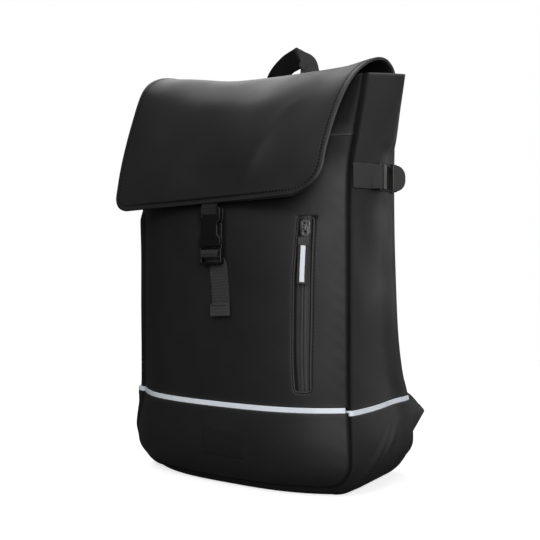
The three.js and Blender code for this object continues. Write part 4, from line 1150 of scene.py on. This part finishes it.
def filled(piece, cap):
    """Padded piece pressed out by its filling: remeshed to even cells and smoothed, then blown up as
    cloth for twenty frames with no weight, and no point moved further than cap."""
    remesh = piece.modifiers.new("even_cells", "REMESH")
    remesh.mode = "VOXEL"
    remesh.voxel_size = FILLING["voxel"] * MM
    piece.modifiers.new("even_out", "SMOOTH").iterations = FILLING["smooth"]
    graph = bpy.context.evaluated_depsgraph_get()
    piece.data = bpy.data.meshes.new_from_object(piece.evaluated_get(graph))
    piece.modifiers.clear()
    rest = np.empty(len(piece.data.vertices) * 3)
    piece.data.vertices.foreach_get("co", rest)
    filling = piece.modifiers.new("filling", "CLOTH")
    filling.settings.use_pressure = True
    filling.settings.uniform_pressure_force = FILLING["pressure"]
    filling.settings.effector_weights.gravity = 0
    filling.point_cache.frame_start = 1
    filling.point_cache.frame_end = FILLING["frames"]
    scene = bpy.context.scene
    for step in range(FILLING["frames"]):
        scene.frame_set(step + 1)
    graph = bpy.context.evaluated_depsgraph_get()
    blown = bpy.data.meshes.new_from_object(piece.evaluated_get(graph))
    moved = np.empty(len(rest))
    blown.vertices.foreach_get("co", moved)
    piece.modifiers.clear()
    scene.frame_set(1)
    push = (moved - rest).reshape(-1, 3)
    far = np.linalg.norm(push, axis=1, keepdims=True) + 1e-9
    rest = (rest.reshape(-1, 3) + push * np.minimum(1, cap * MM / far)).ravel()
    piece.data.vertices.foreach_set("co", rest)
    piece.data.polygons.foreach_set("use_smooth", np.ones(len(piece.data.polygons), bool))
    return rest.reshape(-1, 3) / MM


def settle(piece, points):
    """Puts points in mm back into a padded piece and adds one subdivision."""
    piece.data.vertices.foreach_set("co", (points * MM).ravel())
    piece.data.update()
    soft = piece.modifiers.new("soft", "SUBSURF")
    soft.levels = 1
    soft.render_levels = 1


open_mesh, mesh_in, mesh_out = new_group("open_mesh", {"Place": "place", "Scale": "value"}, {"Hole": "value"})
cells = add_node(
    open_mesh, "ShaderNodeTexVoronoi",
    {"Vector": mesh_in["Place"], "Scale": mesh_in["Scale"], "Randomness": 0.35},
)
holes = ramp(open_mesh, cells.outputs["Distance"], first=0.0, last=1.0, span=(0.2, 0.5))
open_mesh.links.new(holes, mesh_out["Hole"])
padded_mesh, tree, shader = new_material("padded_mesh", (0.016, 0.016, 0.0165), roughness=0.8)
spots = {"Place": object_place(tree), "Scale": 420.0}
net = add_node(tree, "ShaderNodeGroup", spots, node_tree=open_mesh).outputs
knitted = blend_color(tree, net["Hole"], (0.006, 0.006, 0.006), (0.03, 0.03, 0.031))
join_looks(tree, shader, knitted, net["Hole"], depth=0.0005)

pad_us = grid_lines(-PERCENT, PERCENT, PAD["cell_x"]) / PERCENT
pad_u, pad_z = np.meshgrid(pad_us, grid_lines(BOTTOM_SEAM, HEM, PAD["cell_z"]), indexing="ij")
pad_y = along(BODY, "back", pad_z) + GAP + BACK_PAD
pad_grid = np.stack([pad_u * (seam_half(pad_z) + PAD["proud"]), pad_y, pad_z], -1)
back_panel = grid_cloth("back_panel_pad", pad_grid, BACK_PAD, BACK)
pad_points = filled(back_panel, PAD["swell"])
pad_x, pad_y, pad_z = pad_points.T
pad_face = along(BODY, "back", pad_z) + GAP + BACK_PAD
from_middle = pad_y - (pad_face - BACK_PAD / 2)
outer = ease(from_middle, PAD["outer_from"], PAD["outer_to"])
pillow = back_face(np.clip(pad_x / seam_half(pad_z), -1, 1), pad_z) - pad_face
sewn = bell(np.abs(pad_x) - CHANNELS["x"], CHANNELS["wide"])
sewn *= ease(pad_z, CHANNELS["low"], CHANNELS["low"] + CHANNELS["ends"])
sewn *= 1 - ease(pad_z, CHANNELS["high"] - CHANNELS["ends"], CHANNELS["high"])
pad_points[:, 1] += outer * (pillow - CHANNELS["deep"] * sewn)
settle(back_panel, pad_points)
finish_piece(back_panel, padded_mesh, "padded_fabric", "back_panel")

# Carrying handle
# A loop of ribbed webbing, both ends sewn flat to the top of the back. It stands up as a flat arch, with
# a sharp upright crease at its crown where it was hung up and folded.
HANDLE = {"low": 362.0, "high": 380.0, "left": -37.5, "right": 30.0}
# The handle's line: each knot's place, the direction of its width, and dim, the painted shade on the arch's
# left half up to the crease.
HANDLE_LINE = table(
    "x y z wide_x wide_y wide_z dim",
    (-37.5, 42, 398, -1, 0, 0, 0),
    (-37, 50, 420, -0.9, -0.2, 0.1, 0.3),
    (-29, 52, 445, -0.6, -0.5, 0.5, 0.8),
    (-17.7, 45, 462, -0.1, -0.69, 0.7, 1),
    (-6.3, 46.5, 474, 0.05, -0.69, 0.73, 1),
    (6.6, 50.0, 481.2, 0.1, -0.5, 0.86, 1),
    (7.8, 52.6, 482.6, -0.19, 0.37, 0.91, 0),
    (9.8, 57.5, 480.1, 0.1, 0.64, 0.76, 0),
    (12.9, 63.1, 477.3, 0.37, 0.82, 0.44, 0),
    (14.2, 65.2, 471.7, 0.5, 0.87, 0.04, 0),
    (16.7, 62.1, 461.6, 0.64, 0.77, 0, 0),
    (24, 51.3, 435.9, 0.83, 0.55, 0, 0),
    (29, 50, 416, 0.95, 0.2, 0, 0),
    (30, 43, 398, 1, 0, 0, 0),
)


def on_back(x, z, off):
    """Point off the back pad's outer face."""
    return np.stack(np.broadcast_arrays(x, back_face(x / seam_half(z), z) + off, z), -1)


def columns(rows, *names):
    """Columns of a table side by side."""
    return np.stack([rows[name] for name in names], -1)


handle_z = np.array([HANDLE["low"], HANDLE["high"]])
handle_ends = [on_back(HANDLE[name], handle_z, SEAT + WEB_THICK / 2) for name in ("left", "right")]
handle_line = np.concatenate([handle_ends[0], columns(HANDLE_LINE, "x", "y", "z"), handle_ends[1][::-1]])
handle_wide = np.concatenate([[-RIGHT] * 2, columns(HANDLE_LINE, "wide_x", "wide_y", "wide_z"), [RIGHT] * 2])
# Painted shade on the left half of the arch, none at the sewn ends.
handle_dim = np.concatenate([[0, 0], HANDLE_LINE["dim"], [0, 0]])
top_handle = webbing_run("top_handle_webbing", handle_line, handle_wide, WEB, WEB_THICK, dim=handle_dim)
finish_piece(top_handle, webbing_black, "webbing", "top_handle")

# Flap
# The lid: one wide piece of the coated fabric, sewn across the back, arched over the mouth and hanging
# in front of the pocket. Its edge is turned, topstitched and rounded at both lower corners.
FLAP_THICK = 3.0
FLAP_HALF = 136.0
FLAP_CORNER = {"left": 17.0, "right": 34.0}
FLAP = table(
    "at y_left z_left y_mid z_mid y_right z_right",
    (0, 36.5, 396, 36.5, 396, 36.5, 396),
    (1, 45, 423, 45, 423, 46, 425),
    (2, 46, 445, 43, 441, 45, 446),
    (3, 26, 460, 23, 445, 27, 456),
    (4, 0, 464, -2, 447.5, 2, 454),
    (5, -36, 459, -36, 438, -27, 442),
    (6, -65, 440, -68, 416, -56, 422),
    (7, -85, 398, -88, 391, -84, 390),
    (8, -103, 345, -108, 347, -110, 345),
    (9, -114, 294, -116, 297, -124, 301),
)
FLAP_END = FLAP["at"][-1]
FLAP_STEPS = 400
FLAP_SKIN = {"outer": 1.7, "lining": 1.0, "inset": 0.8}
FLAP_EDGE = {"stitch": 5.4, "thread": 2.3, "deep": 0.25, "soft": 0.8, "band_strength": 0.03, "rows": 7.5}
RIGHT_EDGE = {"from": 0.6, "full": 0.85, "fade": 8.5, "end": 8.9}
FLAP_WAVES = {"high": 0.9, "shortest": 60, "longest": 170, "seed": 21, "row": 33.0, "from": 4.0, "full": 40.0}
FLAP_FOLD = {"from": (80, 6.9), "to": (44, 8.6), "high": 0.9, "wide": 9.0, "row": 50.0}
FLAP_FOLD_ENDS = {"before": -25.0, "in": 10.0, "past": 20.0}
MARGIN_LINES = {"side": 60, "corner": 24}
flap_step = np.hypot(*(FLAP[name][-1] - FLAP[name][-2] for name in ("y_mid", "z_mid")))


def flap_half(rise, corner):
    """Half width of the flap at a rise above its lower edge, drawn in along its rounded corner."""
    return FLAP_HALF - corner + np.sqrt(corner**2 - np.maximum(corner - rise, 0) ** 2)


def flap_corner(u):
    """Radius of the lower corner on the side where u lies."""
    return np.where(u < 0, FLAP_CORNER["left"], FLAP_CORNER["right"])


def flap_face(u, s):
    """Outer face of the flap: three long sections, left, middle and right, blended across by the
    parabola through them, and drawn in at the two rounded lower corners."""
    half = flap_half((FLAP_END - s) * flap_step, flap_corner(u))
    shares = {"left": u * (u - 1) / 2, "mid": 1 - u * u, "right": u * (u + 1) / 2}
    y, z = (
        sum(share * along(FLAP, f"{axis}_{name}", s, by="at") for name, share in shares.items())
        for axis in "yz"
    )
    return np.stack([u * half, y, z], -1)


flap_s = np.linspace(0, FLAP_END, FLAP_STEPS)
flap_walk = walk(flap_face(0 * flap_s, flap_s))
flap_lines = grid_lines(0, flap_walk[-1], CELL, close=(flap_walk[-1],))
flap_us = grid_lines(-FLAP_HALF, FLAP_HALF, CELL) / FLAP_HALF
flap_u, flap_v = np.meshgrid(flap_us, np.interp(flap_lines, flap_walk, flap_s), indexing="ij")
flap_grid = flap_face(flap_u, flap_v)
flap_out = skin_normals(flap_grid.reshape(-1, 3), quads(numbered(flap_grid))).reshape(flap_grid.shape)
flap_out *= np.sign(flap_out[..., 2].sum())
gap = edge_gap(flap_grid[..., 0], (FLAP_END - flap_v) * flap_step, FLAP_HALF, flap_corner(flap_u))
right_edge = ease(flap_u, RIGHT_EDGE["from"], RIGHT_EDGE["full"])
right_edge *= 1 - ease(flap_v, RIGHT_EDGE["fade"], RIGHT_EDGE["end"])
sunk = FLAP_EDGE["deep"] * bell(gap - FLAP_EDGE["stitch"], FLAP_EDGE["soft"]) * right_edge
slack = waves(flap_u * FLAP_HALF, flap_v * FLAP_WAVES["row"], FLAP_WAVES)
slack *= ease(gap, FLAP_WAVES["from"], FLAP_WAVES["full"])
fold_from, fold_to = (np.multiply(FLAP_FOLD[name], (1, FLAP_FOLD["row"])) for name in ("from", "to"))
fold_way = unit(fold_to - fold_from)
fold_rel = np.stack([flap_u * FLAP_HALF, flap_v * FLAP_FOLD["row"]], -1) - fold_from
fold_along, fold_off = fold_rel @ fold_way, fold_rel @ np.array([-fold_way[1], fold_way[0]])
past_end = fold_along - np.linalg.norm(fold_to - fold_from)
fold = ease(fold_along, FLAP_FOLD_ENDS["before"], FLAP_FOLD_ENDS["in"])
fold *= 1 - ease(past_end, -FLAP_FOLD_ENDS["past"], FLAP_FOLD_ENDS["past"])
slack += FLAP_FOLD["high"] * fold * bell(fold_off, FLAP_FOLD["wide"])
flap_grid = flap_grid + flap_out * (slack - sunk)[..., None]
# Edge colour, edge wear plus a painted highlight, kept faint round the flap and usual along its right edge.
flap_band_strength = FLAP_EDGE["band_strength"] + (EDGE_BAND_STRENGTH - FLAP_EDGE["band_strength"]) * right_edge
flap = grid_cloth("flap_cloth", flap_grid, FLAP_SKIN["outer"], flap_out, band_strength=flap_band_strength)
finish_piece(flap, black_coating, "coated_fabric", "flap")
lining_grid = flap_grid - flap_out * (FLAP_THICK - FLAP_SKIN["lining"])
lining_grid[..., 0] *= 1 - FLAP_SKIN["inset"] / FLAP_HALF
lining = grid_cloth("flap_lining", lining_grid, FLAP_SKIN["lining"], flap_out, band_strength=flap_band_strength)
finish_piece(lining, black_coating, "coated_fabric")


def on_grid(grid, us, vs, u, v):
    """Value of a grid of points between its lines, by shares along both directions."""
    i = np.clip(np.searchsorted(us, u) - 1, 0, len(us) - 2)
    j = np.clip(np.searchsorted(vs, v) - 1, 0, len(vs) - 2)
    a = ((u - us[i]) / (us[i + 1] - us[i]))[:, None]
    b = ((v - vs[j]) / (vs[j + 1] - vs[j]))[:, None]
    low = grid[i, j] * (1 - a) + grid[i + 1, j] * a
    return low * (1 - b) + (grid[i, j + 1] * (1 - a) + grid[i + 1, j + 1] * a) * b


def flap_margin(inset, top):
    """Line along the flap's right edge, round both corners and up its left edge, at a distance inside:
    straight runs and quarter circles in the flap's flat width and rise. Returns its points and their
    outward directions."""
    arc = np.linspace(0, np.pi / 2, MARGIN_LINES["corner"])
    x, rise = [], []
    for side_name, hand in HANDS.items():
        corner = FLAP_CORNER[side_name]
        straight = np.full(MARGIN_LINES["side"], FLAP_HALF - inset)
        side_x = np.append(straight, FLAP_HALF - corner + (corner - inset) * np.cos(arc))
        climb = np.linspace(top, corner, MARGIN_LINES["side"])
        side_up = np.append(climb, corner - (corner - inset) * np.sin(arc))
        x.append(hand * side_x[::hand])
        rise.append(side_up[::hand])
    x, rise = np.concatenate(x), np.concatenate(rise)
    where = (flap_us, flap_v[0], x / flap_half(rise, flap_corner(x)), FLAP_END - rise / flap_step)
    return on_grid(flap_grid, *where), on_grid(flap_out, *where)


flap_seam = flap_margin(FLAP_EDGE["stitch"], FLAP_EDGE["rows"] * flap_step)
flap_stitches = stitches("flap_stitches", [flap_seam], FLAP_EDGE["thread"])
finish_piece(flap_stitches, thread, "webbing")

# Front closure
# Webbing sewn under the flap goes over the top bar of a side-release buckle; below it, the buckle's
# plug holds a second length that loops over its middle bar and hangs down to a folded, sewn tail.
CLOSURE_WEB = 20.0
TAIL_WEB = 22.5
BUCKLE = {"x": 0.4, "low": 233.5, "face": -114.6, "thick": 9.0, "split": 251.8}
# Dim of the straps: painted shadow of the flap down the upper strap's front, and darkening of the lower
# strap's loop and tail.
CLOSURE_DIM = {"upper": 0.5, "loop": 0.5, "tail": 0.2, "loop_off": 4.0}
UPPER_SHARES = np.array([8.2, 8.5, 8.75])
UPPER_LINE = table(
    "z off",
    (301, 5),
    (297.5, 2.6),
    (294.8, 0.2),
    (292, -1.0),
    (289, -1.1),
    (286.8, -1.0),
    (285, 0.4),
    (284.3, 3),
    (284.3, 7),
)
CLOSURE_LINE = table(
    "x z off",
    (0.4, 264, 0),
    (0.4, 256, 0.3),
    (0.4, 251.4, 1.6),
    (0.4, 248.3, 4.6),
    (0.4, 247.9, 7.4),
    (0.4, 246.8, 8.9),
    (0.4, 244.5, 9.4),
    (0.4, 242.2, 8.9),
    (0.4, 241.3, 7.2),
    (0.4, 240.9, 4.6),
    (2, 238.2, 2.0),
    (5.6, 232.5, 0.9),
    (6.8, 222, 0.5),
    (8.2, 208, 0.3),
    (9.2, 194, 0.4),
    (10, 181, 0.9),
)
TAIL = {"long": 13.0, "thick": 2.4, "wider": 2.4, "clear": 0.1, "past": 0.6}
TAIL_KNOTS = np.array([1.0, 0.5, 0.0])
TAIL_HEM = {"in": 2.0, "half": 0.46, "points": 9}
SOCKET_SIDE = np.array(
    [
        (11.6, 252.8), (12.9, 254.2), (12.9, 260.6), (8.9, 264.2),
        (8.9, 276.6), (12.3, 279.8), (12.3, 290.6), (10.6, 292.6),
    ]
)
SOCKET = {"shell": 3.2, "edge": 0.8, "core": 4.4, "core_edge": 0.3, "core_inset": 1.4}
SOCKET_SLOT = {"low": 282.6, "high": 285.8, "play": 0.4, "round": 1.2}
PLUG = {"thick": 6.6, "edge": 0.9, "half": 13.7, "round": 2.0, "play": 0.3, "slot_round": 0.6}
PLUG_SLOTS = ((236.2, 242.2), (246.8, 249.8))
ARM = {"from": 9.9, "to": 12.9, "low": 250.0, "high": 276.0, "thick": 3.8, "edge": 0.9, "round": 1.2}

flap_middle = np.searchsorted(flap_us, 0)
under, under_out = (
    read_off(UPPER_SHARES, flap_v[0], grid[flap_middle]) for grid in (flap_grid, flap_out)
)
upper_knots = under - under_out * (FLAP_THICK + SEAT + WEB_THICK / 2)
upper_knots[:, 0] = BUCKLE["x"]
upper_front = np.stack(
    np.broadcast_arrays(BUCKLE["x"], BUCKLE["face"] + UPPER_LINE["off"], UPPER_LINE["z"]), -1
)
# Painted shadow of the flap on the upper strap: full under the flap, fading down its front.
upper_dim = np.append(np.ones(len(upper_knots)), np.linspace(1, CLOSURE_DIM["upper"], len(UPPER_LINE)))
upper_line = np.concatenate([upper_knots, upper_front])
upper_strap = webbing_run(
    "closure_strap_upper_webbing", upper_line, RIGHT, CLOSURE_WEB, WEB_THICK, dim=upper_dim
)
finish_piece(upper_strap, webbing_black, "webbing", "closure_strap_upper")
closure_y = front_y(0.0, CLOSURE_LINE["z"]) - GAP - WEB_THICK / 2 - CLOSURE_LINE["off"]
closure_knots = np.stack([CLOSURE_LINE["x"], closure_y, CLOSURE_LINE["z"]], -1)
# The lower strap is darkened by its dim attribute: half on its loop round the plug's middle bar, a fifth
# elsewhere.
looped = CLOSURE_LINE["off"] > CLOSURE_DIM["loop_off"]
tail_dim = np.where(looped, CLOSURE_DIM["loop"], CLOSURE_DIM["tail"])
tail_strap = webbing_run(
    "closure_strap_lower_webbing", closure_knots, RIGHT, TAIL_WEB, WEB_THICK, dim=tail_dim
)
finish_piece(tail_strap, webbing_black, "webbing", "closure_strap_lower")
tail_way = unit(closure_knots[-1] - closure_knots[-2])
tail_off = FRONT * ((WEB_THICK + TAIL["thick"]) / 2 + TAIL["clear"])
tail_end = closure_knots[-1] + tail_way * TAIL["past"] + tail_off
fold_line = tail_end - tail_way * TAIL_KNOTS[:, None] * TAIL["long"]
tail_fold = webbing_run("closure_tail_fold", fold_line, RIGHT, TAIL_WEB + TAIL["wider"], TAIL["thick"])
finish_piece(tail_fold, webbing_black, "webbing")
hem_middle = tail_end - tail_way * (TAIL["long"] - TAIL_HEM["in"])
hem_middle = hem_middle + FRONT * (TAIL["thick"] / 2 + RIB["high"] / 2)
hem_across = np.linspace(-TAIL_HEM["half"], TAIL_HEM["half"], TAIL_HEM["points"]) * TAIL_WEB
hem_line = hem_middle + hem_across[:, None] * RIGHT
tail_stitches = stitches("tail_stitches", [(hem_line, np.tile(FRONT, (len(hem_line), 1)))])
finish_piece(tail_stitches, thread, "webbing")


def buckle_place(off=0.0):
    """Place of an upright plate in the buckle, forwards of its middle by off."""
    middle = BUCKLE["face"] + BUCKLE["thick"] / 2
    return placed(RIGHT, UP, FRONT, (BUCKLE["x"], middle - off, 0))


def both_sides(side):
    """Outline from its right half: the same points mirrored and walked back."""
    return np.concatenate([side, (side * (-1, 1))[::-1]])


slot_half = CLOSURE_WEB / 2 + SOCKET_SLOT["play"]
socket_slot = rounded(-slot_half, slot_half, SOCKET_SLOT["low"], SOCKET_SLOT["high"], SOCKET_SLOT["round"])
shell_face = [both_sides(SOCKET_SIDE), socket_slot]
core_face = [both_sides(SOCKET_SIDE - (SOCKET["core_inset"], 0)), socket_slot]
shell_off = (BUCKLE["thick"] - SOCKET["shell"]) / 2
buckle_plastic = moulded_plastic(
    "buckle_plastic", (0.003, 0.003, 0.003), (0.006, 0.006, 0.006), specular=0.32
)
buckle_socket = moulded(
    "buckle_socket_moulding",
    (shell_face, SOCKET["shell"], SOCKET["edge"], buckle_place(shell_off)),
    (shell_face, SOCKET["shell"], SOCKET["edge"], buckle_place(-shell_off)),
    (core_face, SOCKET["core"], SOCKET["core_edge"], buckle_place()),
)
finish_piece(buckle_socket, buckle_plastic, "moulded_plastic", "buckle_socket")
rim = PLUG["edge"]
flat_half = PLUG["half"] - rim
open_half = TAIL_WEB / 2 + PLUG["play"] + rim
plug_top = BUCKLE["split"] - GAP - rim
plug_face = [rounded(-flat_half, flat_half, BUCKLE["low"] + rim, plug_top, PLUG["round"])]
for low, high in PLUG_SLOTS:
    plug_face.append(rounded(-open_half, open_half, low - rim, high + rim, PLUG["slot_round"]))
plug_plates = [(plug_face, PLUG["thick"], rim, buckle_place())]
for hand in HANDS.values():
    arm_sides = sorted((hand * ARM["from"], hand * ARM["to"]))
    arm = [rounded(*arm_sides, ARM["low"], ARM["high"], ARM["round"])]
    plug_plates.append((arm, ARM["thick"], ARM["edge"], buckle_place()))
buckle_plug = moulded("buckle_plug_moulding", *plug_plates)
finish_piece(buckle_plug, buckle_plastic, "moulded_plastic", "buckle_plug")

# Shoulder straps
# Two padded bands of the open-mesh fabric, sewn to the back below the handle and bound at their edges.
# Each ends in a ladder lock, whose webbing falls to a cloth wing sewn in at the foot of the back.
SHOULDER = {"wide": 56.0, "thick": 11.0, "edge": 0.45, "face": 0.6, "swell": 0.8, "sides": 28, "apart": 3.0}
SHOULDER_LINE = table(
    "x z off",
    (46, 352, 6.3),
    (46, 336, 6.8),
    (50, 314, 15),
    (56, 284, 32),
    (64, 246, 42),
    (72, 206, 40),
    (80, 168, 36),
    (84, 146, 32),
)
TONGUE = {"start": 0.4, "long": 12.0, "thin": 4.0, "least": 0.62}
BINDING = {"in": 5.0, "deep": 1.3, "wide": 1.8, "most": 0.5}
STRAP_HOOK = table(
    "along out",
    (-12.2, 3),
    (-12, 1.4),
    (-11.4, -0.3),
    (-9.6, -1.2),
    (0, -1.2),
    (15, -1.2),
    (22, -1.2),
)
STRAP_FALL = table(
    "x y z turn", (102, 81, 96, 0.3), (116, 85, 86, 0.75), (129, 87, 75, 0.95), (135.3, 87, 61, 1)
)
WING = {"low": 36.5, "high": 93.5, "tip": 71.0, "tip_low": 62.0, "round": 1.6, "thick": 3.0}
WING_ROOT = {"reach": 41.0, "sunk": 5.0, "inset": 2.0, "share": 0.97}
WING_LINES = (40, 44)


def signed_power(value, power):
    """Power of a value's size, with the value's sign."""
    return np.sign(value) * np.abs(value) ** power


def tongue(end, long):
    """Quarter round from almost 0 at a band's end to 1 at a length from it."""
    return np.sqrt(1 - (1 - np.clip((end + TONGUE["start"]) / long, 0, 1)) ** 2)[:, None, None]


def band(name, line):
    """Padded band along a line: a flattened oval, whose width and thickness are powers of the cosine
    and sine, drawn together at both ends into a round tongue."""
    path, _ = run_through(line, SHOULDER["apart"])
    way = unit(np.gradient(path, axis=0))
    wide = unit(RIGHT - way * way[:, :1])
    up = np.cross(way, wide)
    angle = np.arange(SHOULDER["sides"]) * 2 * np.pi / SHOULDER["sides"]
    w = signed_power(np.cos(angle), SHOULDER["edge"]) * SHOULDER["wide"] / 2
    t = signed_power(np.sin(angle), SHOULDER["face"]) * (SHOULDER["thick"] / 2 - SHOULDER["swell"])
    walked = walk(path)
    end = np.minimum(walked, walked[-1] - walked)
    narrow = TONGUE["least"] + (1 - TONGUE["least"]) * tongue(end, TONGUE["long"])
    across = wide[:, None] * w[:, None] * narrow
    points = path[:, None] + across + up[:, None] * t[:, None] * tongue(end, TONGUE["thin"])
    ids = numbered(points)
    faces = quads(np.column_stack([ids, ids[:, 0]])).tolist() + [ids[0].tolist(), ids[-1, ::-1].tolist()]
    return build(name, points, faces), path, way, wide, up


for side_name, hand in HANDS.items():
    knots = on_back(hand * SHOULDER_LINE["x"], SHOULDER_LINE["z"], SHOULDER_LINE["off"])
    strap, path, way, wide, up = band(f"shoulder_strap_{side_name}_pad", knots)
    points = filled(strap, SHOULDER["swell"])
    near = np.linalg.norm(points[:, None] - path, axis=-1).argmin(1)
    rel = points - path[near]
    sideways, height = (rel * wide[near]).sum(-1), (rel * up[near]).sum(-1)
    edge = SHOULDER["wide"] / 2 - BINDING["in"] - np.abs(sideways)
    sewn = np.minimum(BINDING["deep"] * bell(edge, BINDING["wide"]), np.abs(height) * BINDING["most"])
    points -= up[near] * (np.sign(height) * sewn)[:, None]
    settle(strap, points)
    finish_piece(strap, padded_mesh, "padded_fabric", f"shoulder_strap_{side_name}")

    foot, down = path[-1], way[-1]
    level = unit(hand * (RIGHT - down * down[0]))
    out = unit(np.cross(level, down)) * hand
    seat = foot + down * (LOCK["half"] + GAP) - out * LOCK["thick"] / 2
    ladder_lock(f"strap_lock_{side_name}_moulding", down, out, seat, f"strap_lock_{side_name}")
    fall = columns(STRAP_FALL, "x", "y", "z") * (hand, 1, 1)
    line = np.concatenate([hook_line(STRAP_HOOK, seat, down, out), fall])
    turns = np.append(np.zeros(len(STRAP_HOOK)), STRAP_FALL["turn"])[:, None]
    across = level * (1 - turns) + BACK * turns
    webbing = webbing_run(f"strap_webbing_{side_name}_webbing", line, across, WEB, WEB_THICK)
    finish_piece(webbing, webbing_black, "webbing", f"strap_webbing_{side_name}")

    share, v = np.meshgrid(*(np.linspace(0, 1, count) for count in WING_LINES), indexing="ij")
    root = WING["low"] + (WING["high"] - WING["low"]) * v
    wing_top = WING["high"] + (WING["tip"] - WING["high"]) * share ** WING["round"]
    wing_low = WING["low"] + (WING["tip_low"] - WING["low"]) * share
    wing_root = back_face(WING_ROOT["share"], root) + SEAT - WING_ROOT["sunk"]
    wing_y = wing_root + share * (WING_ROOT["reach"] + WING_ROOT["sunk"])
    wing_x = hand * (seam_half(root) - WING_ROOT["inset"] + WING["thick"] / 2)
    wing_grid = np.stack([wing_x, wing_y, wing_low + (wing_top - wing_low) * v], -1)
    wing = grid_cloth(f"strap_wing_{side_name}_cloth", wing_grid, WING["thick"], hand * RIGHT)
    finish_piece(wing, black_coating, "coated_fabric", f"strap_wing_{side_name}")

# Floor, light and camera
# A pale round floor that fades out into a white surround, and six soft square lights: key, crown, top,
# front, side and rear. The camera stands level, a little below half the bag's height.
FLOOR = {"middle": 0.02, "radius": 1.6, "solid": 0.7, "rings": 30, "spokes": 96}
FLOOR_COLOR = {"dark": (0.1, 0.1, 0.1), "pale": (0.9, 0.9, 0.9)}
FLOOR_GLOW = {"dark": (0.0, 0.0, 0.0), "pale": (0.62, 0.62, 0.62)}
SKY = {"lighting": 0.045, "seen": 1.0}
LIGHTS = {
    "key": {"at": (1.5, -1.6, 0.7), "aim": (0, 0, 0.22), "size": 1.2, "power": 32},
    "crown": {"at": (-1.2, 0.85, 1.75), "aim": (0, -0.03, 0.45), "size": 1.3, "power": 17},
    "top": {"at": (0.2, -0.6, 2.0), "aim": (0, 0, 0.3), "size": 1.6, "power": 5},
    "front": {"at": (0.0, -1.8, 1.6), "aim": (0, 0, 0.22), "size": 1.4, "power": 16},
    "side": {"at": (2.0, 0.4, 0.6), "aim": (0, 0, 0.25), "size": 1.2, "power": 6},
    "rear": {"at": (1.3, 2.1, 0.7), "aim": (0, 0, 0.25), "size": 1.6, "power": 10},
}
CAMERA = {"at": (0.5114, -0.7714, 0.228), "turn": 33.56, "lens": 53.6, "sensor": 36.0}
scene = bpy.context.scene
scene.view_settings.view_transform = "Standard"
ring_r, ring_a = np.meshgrid(
    np.linspace(FLOOR["middle"], FLOOR["radius"], FLOOR["rings"]),
    np.linspace(0, 2 * np.pi, FLOOR["spokes"] + 1)[:-1],
    indexing="ij",
)
floor_points = np.stack([ring_r * np.cos(ring_a), ring_r * np.sin(ring_a), 0 * ring_r], -1) / MM
floor_ids = numbered(floor_points)
floor_faces = quads(np.column_stack([floor_ids, floor_ids[:, 0]])).tolist() + [floor_ids[0].tolist()]
floor = build("floor", floor_points, floor_faces)
floor_paint, tree, shader = new_material("floor_paint", FLOOR_COLOR["pale"], roughness=0.9, specular=0.1)
far = add_node(tree, "ShaderNodeVectorMath", {0: object_place(tree)}, operation="LENGTH")
fade = ramp(tree, far.outputs["Value"], first=1.0, last=0.0, span=(FLOOR["solid"], FLOOR["radius"]))
tree.links.new(fade, shader.inputs["Alpha"])
seen = add_node(tree, "ShaderNodeLightPath").outputs["Is Camera Ray"]
join_looks(tree, shader, blend_color(tree, seen, FLOOR_COLOR["dark"], FLOOR_COLOR["pale"]))
lit = blend_color(tree, seen, FLOOR_GLOW["dark"], FLOOR_GLOW["pale"])
tree.links.new(lit, shader.inputs["Emission Color"])
shader.inputs["Emission Strength"].default_value = 1.0
floor.data.materials.append(floor_paint)
floor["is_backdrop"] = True

scene.world = bpy.data.worlds.new("studio")
scene.world.use_nodes = True
sky = scene.world.node_tree
ray = add_node(sky, "ShaderNodeLightPath").outputs["Is Camera Ray"]
glow = sky.nodes["Background"]
sky.links.new(ramp(sky, ray, SKY["lighting"], SKY["seen"], span=(0.0, 1.0)), glow.inputs["Strength"])
glow.inputs["Color"].default_value = (1, 1, 1, 1)

for light_name, light in LIGHTS.items():
    lamp = bpy.data.lights.new(light_name, "AREA")
    lamp.size = light["size"]
    lamp.energy = light["power"]
    holder = bpy.data.objects.new(light_name, lamp)
    back = unit(np.subtract(light["at"], light["aim"]))
    side = unit(np.cross(UP, back))
    holder.matrix_world = placed(side, np.cross(back, side), back, np.divide(light["at"], MM))
    scene.collection.objects.link(holder)

camera = bpy.data.cameras.new("camera")
camera.lens = CAMERA["lens"]
camera.sensor_width = CAMERA["sensor"]
stand = bpy.data.objects.new("camera", camera)
stand.location = CAMERA["at"]
stand.rotation_euler = (np.pi / 2, 0, np.radians(CAMERA["turn"]))
scene.collection.objects.link(stand)
scene.camera = stand

low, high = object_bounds()
